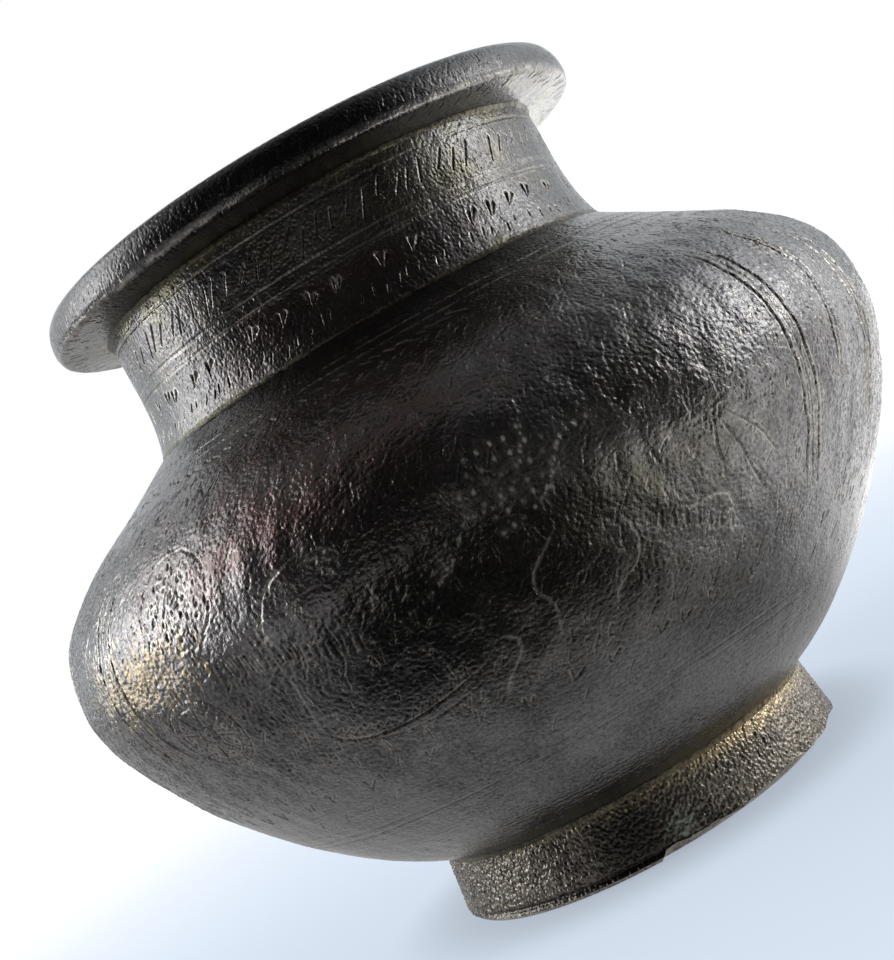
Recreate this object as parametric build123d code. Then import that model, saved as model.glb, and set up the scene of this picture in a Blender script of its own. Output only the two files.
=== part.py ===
from build123d import *
import os
from math import atan2, cos, degrees, radians, sin, tan

# Lota water pot of cast and brazed brass, in millimetres.
# The origin is the centre of the foot's resting plane, and +Z is the axis of the pot.
# Every outline is drawn as radius and height, then turned about the axis.

# Foot ring
FOOT_HEIGHT = 11.0        # resting plane to the crease where the foot meets the bowl
FOOT_TOP_RADIUS = 33.5
FOOT_BASE_RADIUS = 35.0
FOOT_WALL = 3.6
FOOT_BEVEL = 0.7          # broken edges of the resting face

# Body, from the foot's crease to the base of the neck
BELLY_RADIUS = 72.5
BELLY_HEIGHT = 48.5       # foot crease to the widest ring
SHOULDER_HEIGHT = 30.7    # widest ring to the base of the neck
BODY_WALL = 3.0
BASE_DROP = 5.6           # how far the rounded base dips below the foot's crease
BASE_PULL_CENTRE = 16.5   # how long each end of a curve keeps its direction
BASE_PULL_FOOT = 8.5
BOWL_RISE = 24.5          # degrees above level where the bowl leaves the foot
SHOULDER_SLOPE = 33.0     # degrees below level where the shoulder leaves the neck
BOWL_PULL_LOW = 22.5
BOWL_PULL_BELLY = 12.5
SHOULDER_PULL_BELLY = 16.5
SHOULDER_PULL_NECK = 21.0

# Neck collar
NECK_HEIGHT = 21.0
NECK_BASE_RADIUS = 42.0
NECK_TOP_RADIUS = 40.0
NECK_WALL = 3.2
NECK_LEAN = 23.0          # degrees from upright where the neck leaves the shoulder
NECK_PULL_BASE = 6.0
NECK_PULL_TOP = 9.0

# Turned-out rim
RIM_HEIGHT = 6.8          # crease under the rim to its top face
RIM_OVERHANG = 8.6        # how far the rim stands out from the neck
RIM_BULGE_HEIGHT = 3.4    # crease to the widest line of the lip
RIM_UNDERSIDE_RISE = 1.2
RIM_EDGE_ROUND = 2.0      # radial depth of the rounded lower edge
RIM_TOP_ROUND = 3.2       # radial depth of the rounded upper edge
MOUTH_FLARE = 5.0         # how far the bore opens out at the top

# Joints between the castings
BELLY_LAP = 4.0           # height of the bowl's tongue inside the shoulder
RIM_LAP = 2.5             # height of the neck's tongue inside the rim
FOOT_FILLET = 1.6
NECK_FILLET = 0.9
BELLY_VEE = 0.9           # half height and depth of the filled groove at the belly

# Heights and radii that follow from the sizes above
BELLY_Z = FOOT_HEIGHT + BELLY_HEIGHT
NECK_Z = BELLY_Z + SHOULDER_HEIGHT
RIM_Z = NECK_Z + NECK_HEIGHT
TOP_Z = RIM_Z + RIM_HEIGHT
RIM_RADIUS = NECK_TOP_RADIUS + RIM_OVERHANG
BORE_RADIUS = NECK_TOP_RADIUS - NECK_WALL
BORE_BASE_RADIUS = NECK_BASE_RADIUS - NECK_WALL
BELLY_LAP_RADIUS = BELLY_RADIUS - BODY_WALL / 2
NECK_LAP_RADIUS = NECK_BASE_RADIUS - NECK_WALL / 2
RIM_LAP_RADIUS = NECK_TOP_RADIUS - NECK_WALL / 2
RIM_UNDERSIDE_SLOPE = degrees(atan2(RIM_UNDERSIDE_RISE, RIM_OVERHANG - RIM_EDGE_ROUND))
FOOT_LEAN = degrees(atan2(FOOT_BASE_RADIUS - FOOT_TOP_RADIUS, FOOT_HEIGHT))
QUARTER_PULL = 0.552      # pull, as a share of radius, that makes a curve a quarter circle


def along(start, degrees, distance):
    """The point at a distance from start, in a direction above level."""
    angle = radians(degrees)
    return (start[0] + distance * cos(angle), start[1] + distance * sin(angle))


def curve(start, start_degrees, start_pull, end, end_degrees, end_pull):
    """A smooth curve that leaves start, and arrives at end, in set directions."""
    leave = along(start, start_degrees, start_pull)
    arrive = along(end, end_degrees + 180, end_pull)
    return Bezier(start, leave, arrive, end)


def thinner_pull(pull, turn_degrees, wall):
    """The pull of a curve a wall's thickness inside one that turns by an angle."""
    return pull - 4 / 3 * tan(radians(turn_degrees) / 4) * wall


def bowl_curve(inset):
    """The lower body's outline, from the foot's crease to the belly."""
    start = along((FOOT_TOP_RADIUS, FOOT_HEIGHT), BOWL_RISE + 90, inset)
    turn = 90 - BOWL_RISE
    low_pull = thinner_pull(BOWL_PULL_LOW, turn, inset)
    belly_pull = thinner_pull(BOWL_PULL_BELLY, turn, inset)
    return curve(start, BOWL_RISE, low_pull, (BELLY_RADIUS - inset, BELLY_Z), 90, belly_pull)


def base_curve(inset):
    """The rounded base's outline, from the axis to the foot's crease."""
    end = along((FOOT_TOP_RADIUS, FOOT_HEIGHT), BOWL_RISE + 90, inset)
    centre = (0, FOOT_HEIGHT - BASE_DROP + inset)
    return curve(centre, 0, BASE_PULL_CENTRE, end, BOWL_RISE, BASE_PULL_FOOT)


def shoulder_curve(inset, end):
    """The upper body's outline, from the belly to a point under the neck."""
    turn = 90 - SHOULDER_SLOPE
    belly_pull = thinner_pull(SHOULDER_PULL_BELLY, turn, inset)
    neck_pull = thinner_pull(SHOULDER_PULL_NECK, turn, inset)
    start = (BELLY_RADIUS - inset, BELLY_Z)
    return curve(start, 90, belly_pull, end, 180 - SHOULDER_SLOPE, neck_pull)


def neck_curve(start, end):
    """The neck's outline, drawn in from its base and upright at its top."""
    return curve(start, 90 + NECK_LEAN, NECK_PULL_BASE, end, 90, NECK_PULL_TOP)


def rim_outline():
    """The rim's outer edges, from the crease under it to its flat top."""
    crease = (NECK_TOP_RADIUS, RIM_Z)
    under = (RIM_RADIUS - RIM_EDGE_ROUND, RIM_Z + RIM_UNDERSIDE_RISE)
    widest = (RIM_RADIUS, RIM_Z + RIM_BULGE_HEIGHT)
    top = (RIM_RADIUS - RIM_TOP_ROUND, TOP_Z)
    low_pull = QUARTER_PULL * RIM_EDGE_ROUND
    edge = curve(under, RIM_UNDERSIDE_SLOPE, low_pull, widest, 90, low_pull)
    upper_pull = QUARTER_PULL * RIM_TOP_ROUND
    crown = curve(widest, 90, upper_pull, top, 180, upper_pull)
    return [Line(crease, under), edge, crown]


def mouth_curve():
    """The bore's rounded opening, from the rim's flat top down to the bore."""
    top = (BORE_RADIUS + MOUTH_FLARE, TOP_Z)
    bore = (BORE_RADIUS, RIM_Z)
    flare_pull = QUARTER_PULL * MOUTH_FLARE
    return curve(top, 180, flare_pull, bore, 270, QUARTER_PULL * RIM_HEIGHT)


def outer_edges():
    """The pot's outside, from the axis under the base to the rim's flat top."""
    neck_base = (NECK_BASE_RADIUS, NECK_Z)
    shoulder = shoulder_curve(0, neck_base)
    neck = neck_curve(neck_base, (NECK_TOP_RADIUS, RIM_Z))
    return [base_curve(0), bowl_curve(0), shoulder, neck] + rim_outline()


def inner_edges():
    """The pot's inside, from the rim's flat top to the axis over the base."""
    slope = radians(SHOULDER_SLOPE)
    corner_drop = (BODY_WALL - NECK_WALL * sin(slope)) / cos(slope)
    corner = (BORE_BASE_RADIUS, NECK_Z - corner_drop)
    shoulder = shoulder_curve(BODY_WALL, corner)
    neck = neck_curve(corner, (BORE_RADIUS, RIM_Z))
    return [mouth_curve(), neck, shoulder, bowl_curve(BODY_WALL), base_curve(BODY_WALL)]


def wall_region():
    """The section through the whole pot without its foot."""
    top = Line((RIM_RADIUS - RIM_TOP_ROUND, TOP_Z), (BORE_RADIUS + MOUTH_FLARE, TOP_Z))
    axis = Line((0, FOOT_HEIGHT - BASE_DROP), (0, FOOT_HEIGHT - BASE_DROP + BODY_WALL))
    return make_face(outer_edges() + [top] + inner_edges() + [axis])


def outside_region():
    """Everything inside the pot's outer surface, as if the pot were solid."""
    top = Line((RIM_RADIUS - RIM_TOP_ROUND, TOP_Z), (0, TOP_Z))
    axis = Line((0, TOP_Z), (0, FOOT_HEIGHT - BASE_DROP))
    return make_face(outer_edges() + [top, axis])


def stepped_region(height, lap_radius, lap):
    """Everything below a joint: it steps by lap in height, inside lap_radius."""
    far = 2 * BELLY_RADIUS
    low = -TOP_Z
    points = [(0, low), (far, low), (far, height), (lap_radius, height),
              (lap_radius, height + lap), (0, height + lap)]
    return make_face(Polyline(*points, close=True))


def foot_region():
    """The foot ring's section, cut to seat on the underside of the bowl."""
    lean = (FOOT_BASE_RADIUS - FOOT_TOP_RADIUS) / FOOT_HEIGHT
    outer_low = (FOOT_BASE_RADIUS - lean * FOOT_BEVEL, FOOT_BEVEL)
    inner_low = (FOOT_BASE_RADIUS - FOOT_WALL - lean * FOOT_BEVEL, FOOT_BEVEL)
    crease = (FOOT_TOP_RADIUS, FOOT_HEIGHT)
    inner_top = (FOOT_TOP_RADIUS - FOOT_WALL, FOOT_HEIGHT)
    points = [(FOOT_BASE_RADIUS - FOOT_BEVEL, 0), outer_low, crease, inner_top, inner_low,
              (FOOT_BASE_RADIUS - FOOT_WALL + FOOT_BEVEL, 0)]
    return make_face(Polyline(*points, close=True)) - outside_region()


def fillet_region(corner, first_degrees, second_degrees, leg, metal):
    """Filler in a crease, between two surfaces that leave it in set directions."""
    first = Vector(*along(corner, first_degrees, leg))
    second = Vector(*along(corner, second_degrees, leg))
    overrun = (second - first) / 2
    back = Vector(*corner) * 2 - (first + second) / 2
    points = [first - overrun, second + overrun, back]
    return make_face(Polyline(*points, close=True)) - metal


def inner_foot_corner():
    """Where the foot ring's inner face meets the base."""
    face = foot_region()
    inner = face.vertices().filter_by(lambda point: point.X < FOOT_TOP_RADIUS - FOOT_WALL / 2)
    return inner.sort_by(Axis.Y)[-1]


def vee_region():
    """The filled groove round the belly's joint, flush with the outer surface."""
    tip = (BELLY_RADIUS - BELLY_VEE, BELLY_Z)
    far = BELLY_RADIUS + BELLY_VEE
    points = [tip, (far, BELLY_Z - 2 * BELLY_VEE), (far, BELLY_Z + 2 * BELLY_VEE)]
    return make_face(Polyline(*points, close=True)) & wall_region()


def turned(region):
    """The solid that a section makes when it is turned about the pot's axis."""
    return revolve(Plane.XZ * region, axis=Axis.Z)


def body_sections():
    """The four castings of the pot's wall, parted at their stepped joints."""
    wall = wall_region()
    vee = vee_region()
    below_belly = stepped_region(BELLY_Z, BELLY_LAP_RADIUS, BELLY_LAP)
    below_neck = stepped_region(NECK_Z, NECK_LAP_RADIUS, -BODY_WALL - NECK_WALL)
    below_rim = stepped_region(RIM_Z, RIM_LAP_RADIUS, RIM_LAP)
    return {
        "lower_bowl": (wall & below_belly) - vee,
        "upper_shell": (wall & below_neck) - below_belly - vee,
        "neck_collar": (wall & below_rim) - below_neck,
        "rim_ring": wall - below_rim,
    }


def braze_sections():
    """The filler metal that joins the castings."""
    wall = wall_region()
    foot = foot_region()
    inner_corner = inner_foot_corner()
    outer_foot = fillet_region((FOOT_TOP_RADIUS, FOOT_HEIGHT), FOOT_LEAN - 90, BOWL_RISE,
                               FOOT_FILLET, wall + foot)
    inner_foot = fillet_region((inner_corner.X, inner_corner.Y), FOOT_LEAN - 90, 180 + BOWL_RISE,
                               FOOT_FILLET, wall + foot)
    neck = fillet_region((NECK_BASE_RADIUS, NECK_Z), 90 + NECK_LEAN, -SHOULDER_SLOPE,
                         NECK_FILLET, wall)
    rim = fillet_region((NECK_TOP_RADIUS, RIM_Z), -90, RIM_UNDERSIDE_SLOPE, NECK_FILLET, wall)
    return {
        "foot_braze": outer_foot + inner_foot,
        "belly_braze": vee_region(),
        "neck_braze": neck,
        "rim_braze": rim,
    }


def main():
    os.makedirs("parts", exist_ok=True)
    sections = {"foot_ring": foot_region()} | body_sections() | braze_sections()
    for name, section in sections.items():
        export_step(turned(section), f"parts/{name}.step")


main()
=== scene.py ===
"""A cast and engraved lota water pot: turned castings, cut ornament, dark worn patina."""
import math

import bpy
import numpy as np
from mathutils import Matrix, Vector


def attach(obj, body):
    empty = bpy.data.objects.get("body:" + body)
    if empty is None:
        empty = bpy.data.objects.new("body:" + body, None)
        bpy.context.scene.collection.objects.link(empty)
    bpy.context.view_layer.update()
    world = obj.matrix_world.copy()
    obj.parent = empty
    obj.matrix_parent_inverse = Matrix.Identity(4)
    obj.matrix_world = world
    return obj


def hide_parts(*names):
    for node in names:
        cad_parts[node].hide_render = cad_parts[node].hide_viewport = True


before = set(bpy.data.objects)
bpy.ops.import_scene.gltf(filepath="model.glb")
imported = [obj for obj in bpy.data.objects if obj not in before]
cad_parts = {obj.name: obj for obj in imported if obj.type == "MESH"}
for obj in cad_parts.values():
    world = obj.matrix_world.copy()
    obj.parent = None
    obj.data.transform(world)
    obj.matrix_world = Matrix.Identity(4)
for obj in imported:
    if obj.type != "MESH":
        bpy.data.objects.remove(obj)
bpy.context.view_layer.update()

MM = 0.001

# ---------------------------------------------------------------- sizes, in millimetres
FOOT_HEIGHT = 11.0
FOOT_TOP_RADIUS = 33.5
FOOT_BASE_RADIUS = 35.0
FOOT_WALL = 3.6
FOOT_BEVEL = 0.7
BELLY_RADIUS = 72.5
BELLY_Z = 59.5
BODY_WALL = 3.0
BASE_DROP = 5.6
NECK_Z = 90.2
NECK_BASE_RADIUS = 42.0
NECK_TOP_RADIUS = 40.0
NECK_WALL = 3.2
RIM_Z = 111.2
TOP_Z = 118.0
RIM_RADIUS = 48.6
RIM_FACE_Z = 113.6            # above this the rim's face leans in
RIM_TOP_ROUND = 2.2
BORE_RADIUS = NECK_TOP_RADIUS - NECK_WALL
MOUTH_RADIUS = BORE_RADIUS + 5.0
BOWL_RISE = 24.5              # degrees above level where the bowl leaves the foot
SHOULDER_SLOPE = 33.0         # degrees below level where the shoulder leaves the neck
NECK_LEAN = 23.0              # degrees from upright where the neck leaves the shoulder
BELLY_LAP_RADIUS = BELLY_RADIUS - BODY_WALL / 2
BELLY_LAP_Z = BELLY_Z + 4.0
BELLY_VEE = 0.9
NECK_LAP_RADIUS = NECK_BASE_RADIUS - NECK_WALL / 2
RIM_LAP_RADIUS = NECK_TOP_RADIUS - NECK_WALL / 2
RIM_LAP_Z = RIM_Z + 2.5

# ---------------------------------------------------------------- fineness of the meshes
COLUMNS = 1800                # mesh columns round the pot
MAP_STEP = 0.2                # row height of the engraving map
ROW_ENGRAVED = 0.21
ROW_FOOT = 0.18
ROW_MOUTH = 0.45
ROW_INSIDE = 1.5
CUT_DEPTH = 1.4               # how much deeper than drawn the graver went
FULL_CUT = 0.09               # a cut this deep holds all the dirt or shade it can
LIP = 0.3                     # height of a cut's raised lip, as a share of its depth
LIP_PLACE = 1.45              # where the lip lies, in half widths of the cut
LIP_WIDTH = 0.35
DEEP_CUT = 0.12               # a cut this deep hides the lip beside it
HIGH_LIP = 0.035              # a lip this high is rubbed as bright as it can be
SEED = 1787


# ================================================================ outlines
def along(start, degrees, distance):
    """The point at a distance from start, in a direction above level."""
    angle = math.radians(degrees)
    return (start[0] + distance * math.cos(angle), start[1] + distance * math.sin(angle))


def bend(start, start_degrees, start_pull, end, end_degrees, end_pull, count=400):
    """Points on a smooth curve that leaves and arrives in set directions."""
    knots = np.array([start, along(start, start_degrees, start_pull),
                      along(end, end_degrees + 180, end_pull), end])
    t = np.linspace(0, 1, count)[:, None]
    return ((1 - t) ** 3 * knots[0] + 3 * (1 - t) ** 2 * t * knots[1]
            + 3 * (1 - t) * t ** 2 * knots[2] + t ** 3 * knots[3])


def thinner_pull(pull, turn_degrees, wall):
    """The pull of a curve a wall's thickness inside one that turns by an angle."""
    return pull - 4 / 3 * math.tan(math.radians(turn_degrees) / 4) * wall


def bowl_line(inset):
    """The lower body, from the foot's crease to the belly."""
    start = along((FOOT_TOP_RADIUS, FOOT_HEIGHT), BOWL_RISE + 90, inset)
    turn = 90 - BOWL_RISE
    return bend(start, BOWL_RISE, thinner_pull(22.5, turn, inset),
                (BELLY_RADIUS - inset, BELLY_Z), 90, thinner_pull(12.5, turn, inset))


def base_line(inset):
    """The rounded base, from the axis to the foot's crease."""
    end = along((FOOT_TOP_RADIUS, FOOT_HEIGHT), BOWL_RISE + 90, inset)
    return bend((0, FOOT_HEIGHT - BASE_DROP + inset), 0, 16.5, end, BOWL_RISE, 8.5)


def shoulder_line(inset, end):
    """The upper body, from the belly to a point under the neck."""
    turn = 90 - SHOULDER_SLOPE
    return bend((BELLY_RADIUS - inset, BELLY_Z), 90, thinner_pull(16.5, turn, inset),
                end, 180 - SHOULDER_SLOPE, thinner_pull(21.0, turn, inset))


def neck_line(start, end):
    """The neck, drawn in from its base and upright at its top."""
    return bend(start, 90 + NECK_LEAN, 6.0, end, 90, 9.0)


def rim_line():
    """The rim's outside: a flat underside, a crisp lower edge, an upright face and a soft top."""
    under, edge = (RIM_RADIUS - 1.1, RIM_Z + 0.8), (RIM_RADIUS - 0.2, RIM_Z + 1.6)
    top = (RIM_RADIUS - RIM_TOP_ROUND, TOP_Z)
    slope = math.degrees(math.atan2(0.8, RIM_RADIUS - 1.1 - NECK_TOP_RADIUS))
    return joined(straight((NECK_TOP_RADIUS, RIM_Z), under),
                  bend(under, slope, 0.5, edge, 80, 0.45),
                  bend(edge, 80, 0.3, (RIM_RADIUS, RIM_FACE_Z), 90, 0.3),
                  bend((RIM_RADIUS, RIM_FACE_Z), 90, 3.0, top, 180, 1.0))


def mouth_line():
    """The opening, from the rim's flat top down to the bore."""
    return bend((MOUTH_RADIUS, TOP_Z), 180, 2.76, (BORE_RADIUS, RIM_Z), 270, 3.75)


def straight(start, end, count=40):
    """Points on a straight line."""
    return np.linspace(start, end, count)


def joined(*lines):
    """One line of points from several that follow each other."""
    points = np.concatenate([np.asarray(line, float) for line in lines])
    step = np.hypot(*np.diff(points, axis=0).T)
    return points[np.r_[True, step > 1e-6]]


def lengths(points):
    """The distance of each point from the first, measured along the line."""
    return np.r_[0, np.cumsum(np.hypot(*np.diff(points, axis=0).T))]


def spaced(points, gap):
    """The line redrawn with points an even gap apart."""
    run = lengths(points)
    count = max(2, int(round(run[-1] / gap)) + 1)
    even = np.linspace(0, run[-1], count)
    return np.c_[np.interp(even, run, points[:, 0]), np.interp(even, run, points[:, 1])]


def between(points, low, high, axis=1):
    """The part of a line whose height, or radius, lies between two values, ends included."""
    value = points[:, axis]
    order = np.argsort(value)
    ends = [np.array([[np.interp(v, value[order], points[order, 0]),
                       np.interp(v, value[order], points[order, 1])]]) for v in (low, high)]
    if value[0] > value[-1]:
        ends.reverse()
    inside = points[(value > low) & (value < high)]
    return joined(ends[0], inside, ends[1])


SLOPE = math.radians(SHOULDER_SLOPE)
INNER_CORNER = (NECK_BASE_RADIUS - NECK_WALL,
                NECK_Z - (BODY_WALL - NECK_WALL * math.sin(SLOPE)) / math.cos(SLOPE))
FOOT_FACE = straight((FOOT_BASE_RADIUS, 0), (FOOT_TOP_RADIUS, FOOT_HEIGHT))
BOWL = bowl_line(0)
SHOULDER = shoulder_line(0, (NECK_BASE_RADIUS, NECK_Z))
NECK = neck_line((NECK_BASE_RADIUS, NECK_Z), (NECK_TOP_RADIUS, RIM_Z))
RIM = rim_line()
RIM_FLAT = straight((RIM_RADIUS - RIM_TOP_ROUND, TOP_Z), (MOUTH_RADIUS, TOP_Z))
MOUTH = mouth_line()
BORE = neck_line(INNER_CORNER, (BORE_RADIUS, RIM_Z))[::-1]
SKIN = joined(FOOT_FACE, BOWL, SHOULDER, NECK, RIM, RIM_FLAT, MOUTH, BORE)
SKIN_RUN = lengths(SKIN) - lengths(FOOT_FACE)[-1]    # zero at the foot's crease
RUN_LOW, RUN_HIGH = SKIN_RUN[0], SKIN_RUN[-1]
RIM_TOP_RUN = lengths(joined(BOWL, SHOULDER, NECK, RIM))[-1]


def run_at(z):
    """How far up the outside, from the foot's crease, a height lies."""
    outside = SKIN_RUN <= RIM_TOP_RUN
    return np.interp(z, SKIN[outside, 1], SKIN_RUN[outside])


# ================================================================ the engraving map
class Engraving:
    """The pot's whole skin unrolled: rows climb the outline, columns go round the pot."""

    def __init__(self):
        """Starts with a smooth skin."""
        self.run = np.arange(RUN_LOW - 1, RUN_HIGH + 1, MAP_STEP)
        self.radius = np.interp(self.run, SKIN_RUN, SKIN[:, 0])
        self.z = np.interp(self.run, SKIN_RUN, SKIN[:, 1])
        self.angle = np.arange(COLUMNS) * 360 / COLUMNS - 180
        shape = (len(self.run), COLUMNS)
        self.surface, self.groove, self.burr = (np.zeros(shape, np.float32) for _ in range(3))
        self.filled, self.open, self.chalk = (np.zeros(shape, np.float32) for _ in range(3))
        self.packed = True      # True: cuts packed with dry dirt; False: open and dark; None: plain
        self.rng = np.random.default_rng(SEED)

    def degree(self, run):
        """The length round the pot of one degree, at a run."""
        return math.radians(1) * float(np.interp(run, self.run, self.radius))

    def window(self, angle, run, reach):
        """Rows, columns and millimetre offsets of the patch round a place."""
        middle = int(round((run - self.run[0]) / MAP_STEP))
        tall = int(reach / MAP_STEP) + 1
        rows = np.arange(max(0, middle - tall), min(len(self.run), middle + tall + 1))
        gap = 2 * math.pi * np.interp(run, self.run, self.radius) / COLUMNS
        wide = int(reach / gap) + 1
        column = int(round((angle + 180) / 360 * COLUMNS))
        spread = np.arange(-wide, wide + 1)
        across = (spread + column - (angle + 180) / 360 * COLUMNS) * gap
        up = self.run[rows] - run
        return rows[:, None], ((column + spread) % COLUMNS)[None, :], across[None, :], up[:, None]

    def press(self, rows, columns, share, depth, lift=LIP, chalk=0.0):
        """Sinks a mark whose share is 0 on its line and 1 at its edge, with a faint raised lip."""
        patch = np.ix_(rows[:, 0], columns[0])
        sunk = depth * np.clip(1 - share * share, 0, None)
        lip = lift * depth * np.exp(-((share - LIP_PLACE) / LIP_WIDTH) ** 2)
        self.groove[patch] = np.maximum(self.groove[patch], sunk)
        self.burr[patch] = np.maximum(self.burr[patch], lip)
        # An unfilled cut is painted dark: painted shade in the cut.
        if self.packed is not None:
            fill = self.filled if self.packed else self.open
            fill[patch] = np.maximum(fill[patch], np.clip(sunk / FULL_CUT, 0, 1))
        if chalk:
            dusted = chalk * np.clip(1.9 - 2.4 * share, 0, 1)
            self.chalk[patch] = np.maximum(self.chalk[patch], dusted)

    def line(self, start, end, width=0.42, depth=0.11, lift=LIP, chalk=0.0):
        """One straight stroke of the graver between two places given as (angle, run)."""
        (a0, s0), (a1, s1) = start, end
        angle, run = (a0 + a1) / 2, (s0 + s1) / 2
        mm = self.degree(run)
        dx, ds = (a1 - a0) * mm, s1 - s0
        length = math.hypot(dx, ds) + 1e-6
        rows, columns, across, up = self.window(angle, run, length / 2 + 1.1 * width)
        t = np.clip((across * dx + up * ds) / length ** 2, -0.5, 0.5)
        away = np.hypot(across - t * dx, up - t * ds)
        self.press(rows, columns, away / (width / 2), depth, lift, chalk)

    def path(self, places, width=0.32, depth=0.12, lift=0.35, chalk=0.6):
        """A curved stroke through several places given as (angle, height)."""
        points = np.array([(a, run_at(z)) for a, z in places], float)
        padded = np.vstack([2 * points[0] - points[1], points, 2 * points[-1] - points[-2]])
        smooth = []
        for k in range(len(points) - 1):
            p0, p1, p2, p3 = padded[k:k + 4]
            for t in np.linspace(0, 1, 7)[:-1]:
                swing = (2 * p0 - 5 * p1 + 4 * p2 - p3) * t * t
                twist = (3 * p1 - p0 - 3 * p2 + p3) * t ** 3
                smooth.append(0.5 * (2 * p1 + (p2 - p0) * t + swing + twist))
        smooth.append(points[-1])
        smooth = np.array(smooth) + self.rng.normal(0, 0.05, (len(smooth), 2))
        for k, (start, end) in enumerate(zip(smooth[:-1], smooth[1:])):
            ease = min(1.0, 0.55 + 0.2 * min(k, len(smooth) - 2 - k))
            self.line(start, end, width * ease, depth * ease, lift, chalk * (self.packed is True))

    def dash(self, angle, run, length, tilt=0.0, width=0.42, depth=0.11, lift=LIP):
        """A short stroke about a place; tilt is degrees from upright, towards larger angles."""
        mm = self.degree(run)
        da = length / 2 * math.sin(math.radians(tilt)) / mm
        ds = length / 2 * math.cos(math.radians(tilt))
        self.line((angle - da, run - ds), (angle + da, run + ds), width, depth, lift)

    def wedge(self, angle, run, length, tilt, width=0.9, depth=0.2):
        """A struck wedge: broad and deep at its head, and running out to a point."""
        rows, columns, across, up = self.window(angle, run, length)
        c, s = math.cos(math.radians(tilt)), math.sin(math.radians(tilt))
        t = (across * s + up * c) / length
        side = np.abs(across * c - up * s)
        taper = np.clip(0.5 - t, 0.02, 1)
        share = np.hypot(side / (width / 2 * (0.12 + taper)), np.maximum(0, np.abs(t) - 0.5) * 9)
        self.press(rows, columns, share, depth, 0.28)

    def dot(self, angle, run, across_radius, up_radius, depth, lift=LIP, chalk=0.0):
        """An oval punch mark."""
        rows, columns, across, up = self.window(angle, run, 2 * max(across_radius, up_radius))
        share = np.hypot(across / across_radius, up / up_radius)
        self.press(rows, columns, share, depth, lift, chalk)

    def circle(self, angle, run, radius, width=0.4, depth=0.11):
        """A cut circle."""
        rows, columns, across, up = self.window(angle, run, radius + width)
        share = np.abs(np.hypot(across, up) - radius) / (width / 2)
        self.press(rows, columns, share, depth)

    def ring(self, z, width=0.5, depth=0.14, lift=LIP, wander=0.08):
        """A line scribed right round the pot at a height."""
        run = run_at(z)
        drift = wander * self.hum(3)
        near = np.abs(self.run - run) < width + 3 * wander + 0.4
        rows = np.flatnonzero(near)
        share = np.abs(self.run[rows][:, None] - run - drift[None, :]) / (width / 2)
        fade = 0.75 + 0.25 * self.hum(9)
        self.press(rows[:, None], np.arange(COLUMNS)[None, :], share, depth * fade[None, :], lift)

    def hum(self, waves):
        """A gentle closed wave round the pot, from -1 to 1."""
        turn = np.radians(self.angle)
        parts = sum(math.sin(1.7 * k) / (k + 1) * np.sin((k + 1) * turn + self.rng.uniform(0, 6.28))
                    for k in range(1, waves + 1))
        return (parts / (np.abs(parts).max() + 1e-9)).astype(np.float32)

    def grain(self, across, up, seed, band=0.38, radius=62):
        """Noise in lumps of a width and a height in millimetres, true at one radius of the pot."""
        rng = np.random.default_rng(SEED + seed)
        noise = rng.standard_normal(self.surface.shape).astype(np.float32)
        waves = np.fft.rfft2(noise)
        fs = np.fft.fftfreq(len(self.run), MAP_STEP)[:, None]
        fa = np.fft.rfftfreq(COLUMNS, 2 * math.pi * radius / COLUMNS)[None, :]
        f = np.hypot(fs * up, fa * across)
        waves *= np.exp(-((f - 1) / band) ** 2 / 2)
        made = np.fft.irfft2(waves, s=self.surface.shape)
        return (made / made.std()).astype(np.float32)

    def zone(self, z_low, z_high, soft=1.5):
        """Full between two heights on the outside and fading over a soft edge."""
        low, high = run_at(z_low), run_at(z_high)
        up = 1 / (1 + np.exp(-(self.run - low) / (soft / 4)))
        down = 1 / (1 + np.exp((self.run - high) / (soft / 4)))
        return (up * down).astype(np.float32)[:, None]

    def patch(self, angle, z, wide, tall):
        """A soft spot: wide in degrees and tall in millimetres at half strength."""
        turn = (self.angle - angle + 180) % 360 - 180
        up = (self.run - run_at(z))[:, None]
        return np.exp(-0.7 * ((turn[None, :] / (wide / 2)) ** 2 + (up / (tall / 2)) ** 2))


def rosette(work, angle, z, radius, petals=8):
    """A flower in two circles, its cuts unfilled and painted dark as shade, with ticks between the
    circles.
    """
    run = run_at(z)
    mm = work.degree(run)
    work.packed = False
    work.circle(angle, run, radius, 0.40, 0.11)
    work.circle(angle, run, radius * 0.79, 0.32, 0.08)
    work.circle(angle, run, radius * 0.24, 0.4, 0.13)
    work.dot(angle, run, 0.35, 0.35, 0.12)
    for k in range(petals):
        turn = 2 * math.pi * k / petals + 0.3
        reach = radius * 0.52
        place = (angle + reach * math.sin(turn) / mm, run + reach * math.cos(turn))
        work.dash(*place, radius * 0.4, math.degrees(turn), 0.46, 0.12)
        edge = (angle + radius * 0.66 * math.sin(turn + 0.39) / mm,
                run + radius * 0.66 * math.cos(turn + 0.39))
        work.dot(*edge, 0.34, 0.34, 0.12)
    for k in range(30):
        turn = 2 * math.pi * (k + 0.2 * work.rng.uniform(-1, 1)) / 30
        place = (angle + radius * 0.9 * math.sin(turn) / mm, run + radius * 0.9 * math.cos(turn))
        work.dash(*place, radius * 0.15, math.degrees(turn), 0.3, 0.12)
    work.packed = True


def small_flower(work, angle, z, size=1.5):
    """Six punched dots round a seventh."""
    run = run_at(z)
    mm = work.degree(run)
    for k in range(6):
        turn = math.pi * k / 3
        work.dot(angle + size * math.sin(turn) / mm, run + size * math.cos(turn), 0.42, 0.42, 0.11)
    work.dot(angle, run, 0.4, 0.4, 0.12)


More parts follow.
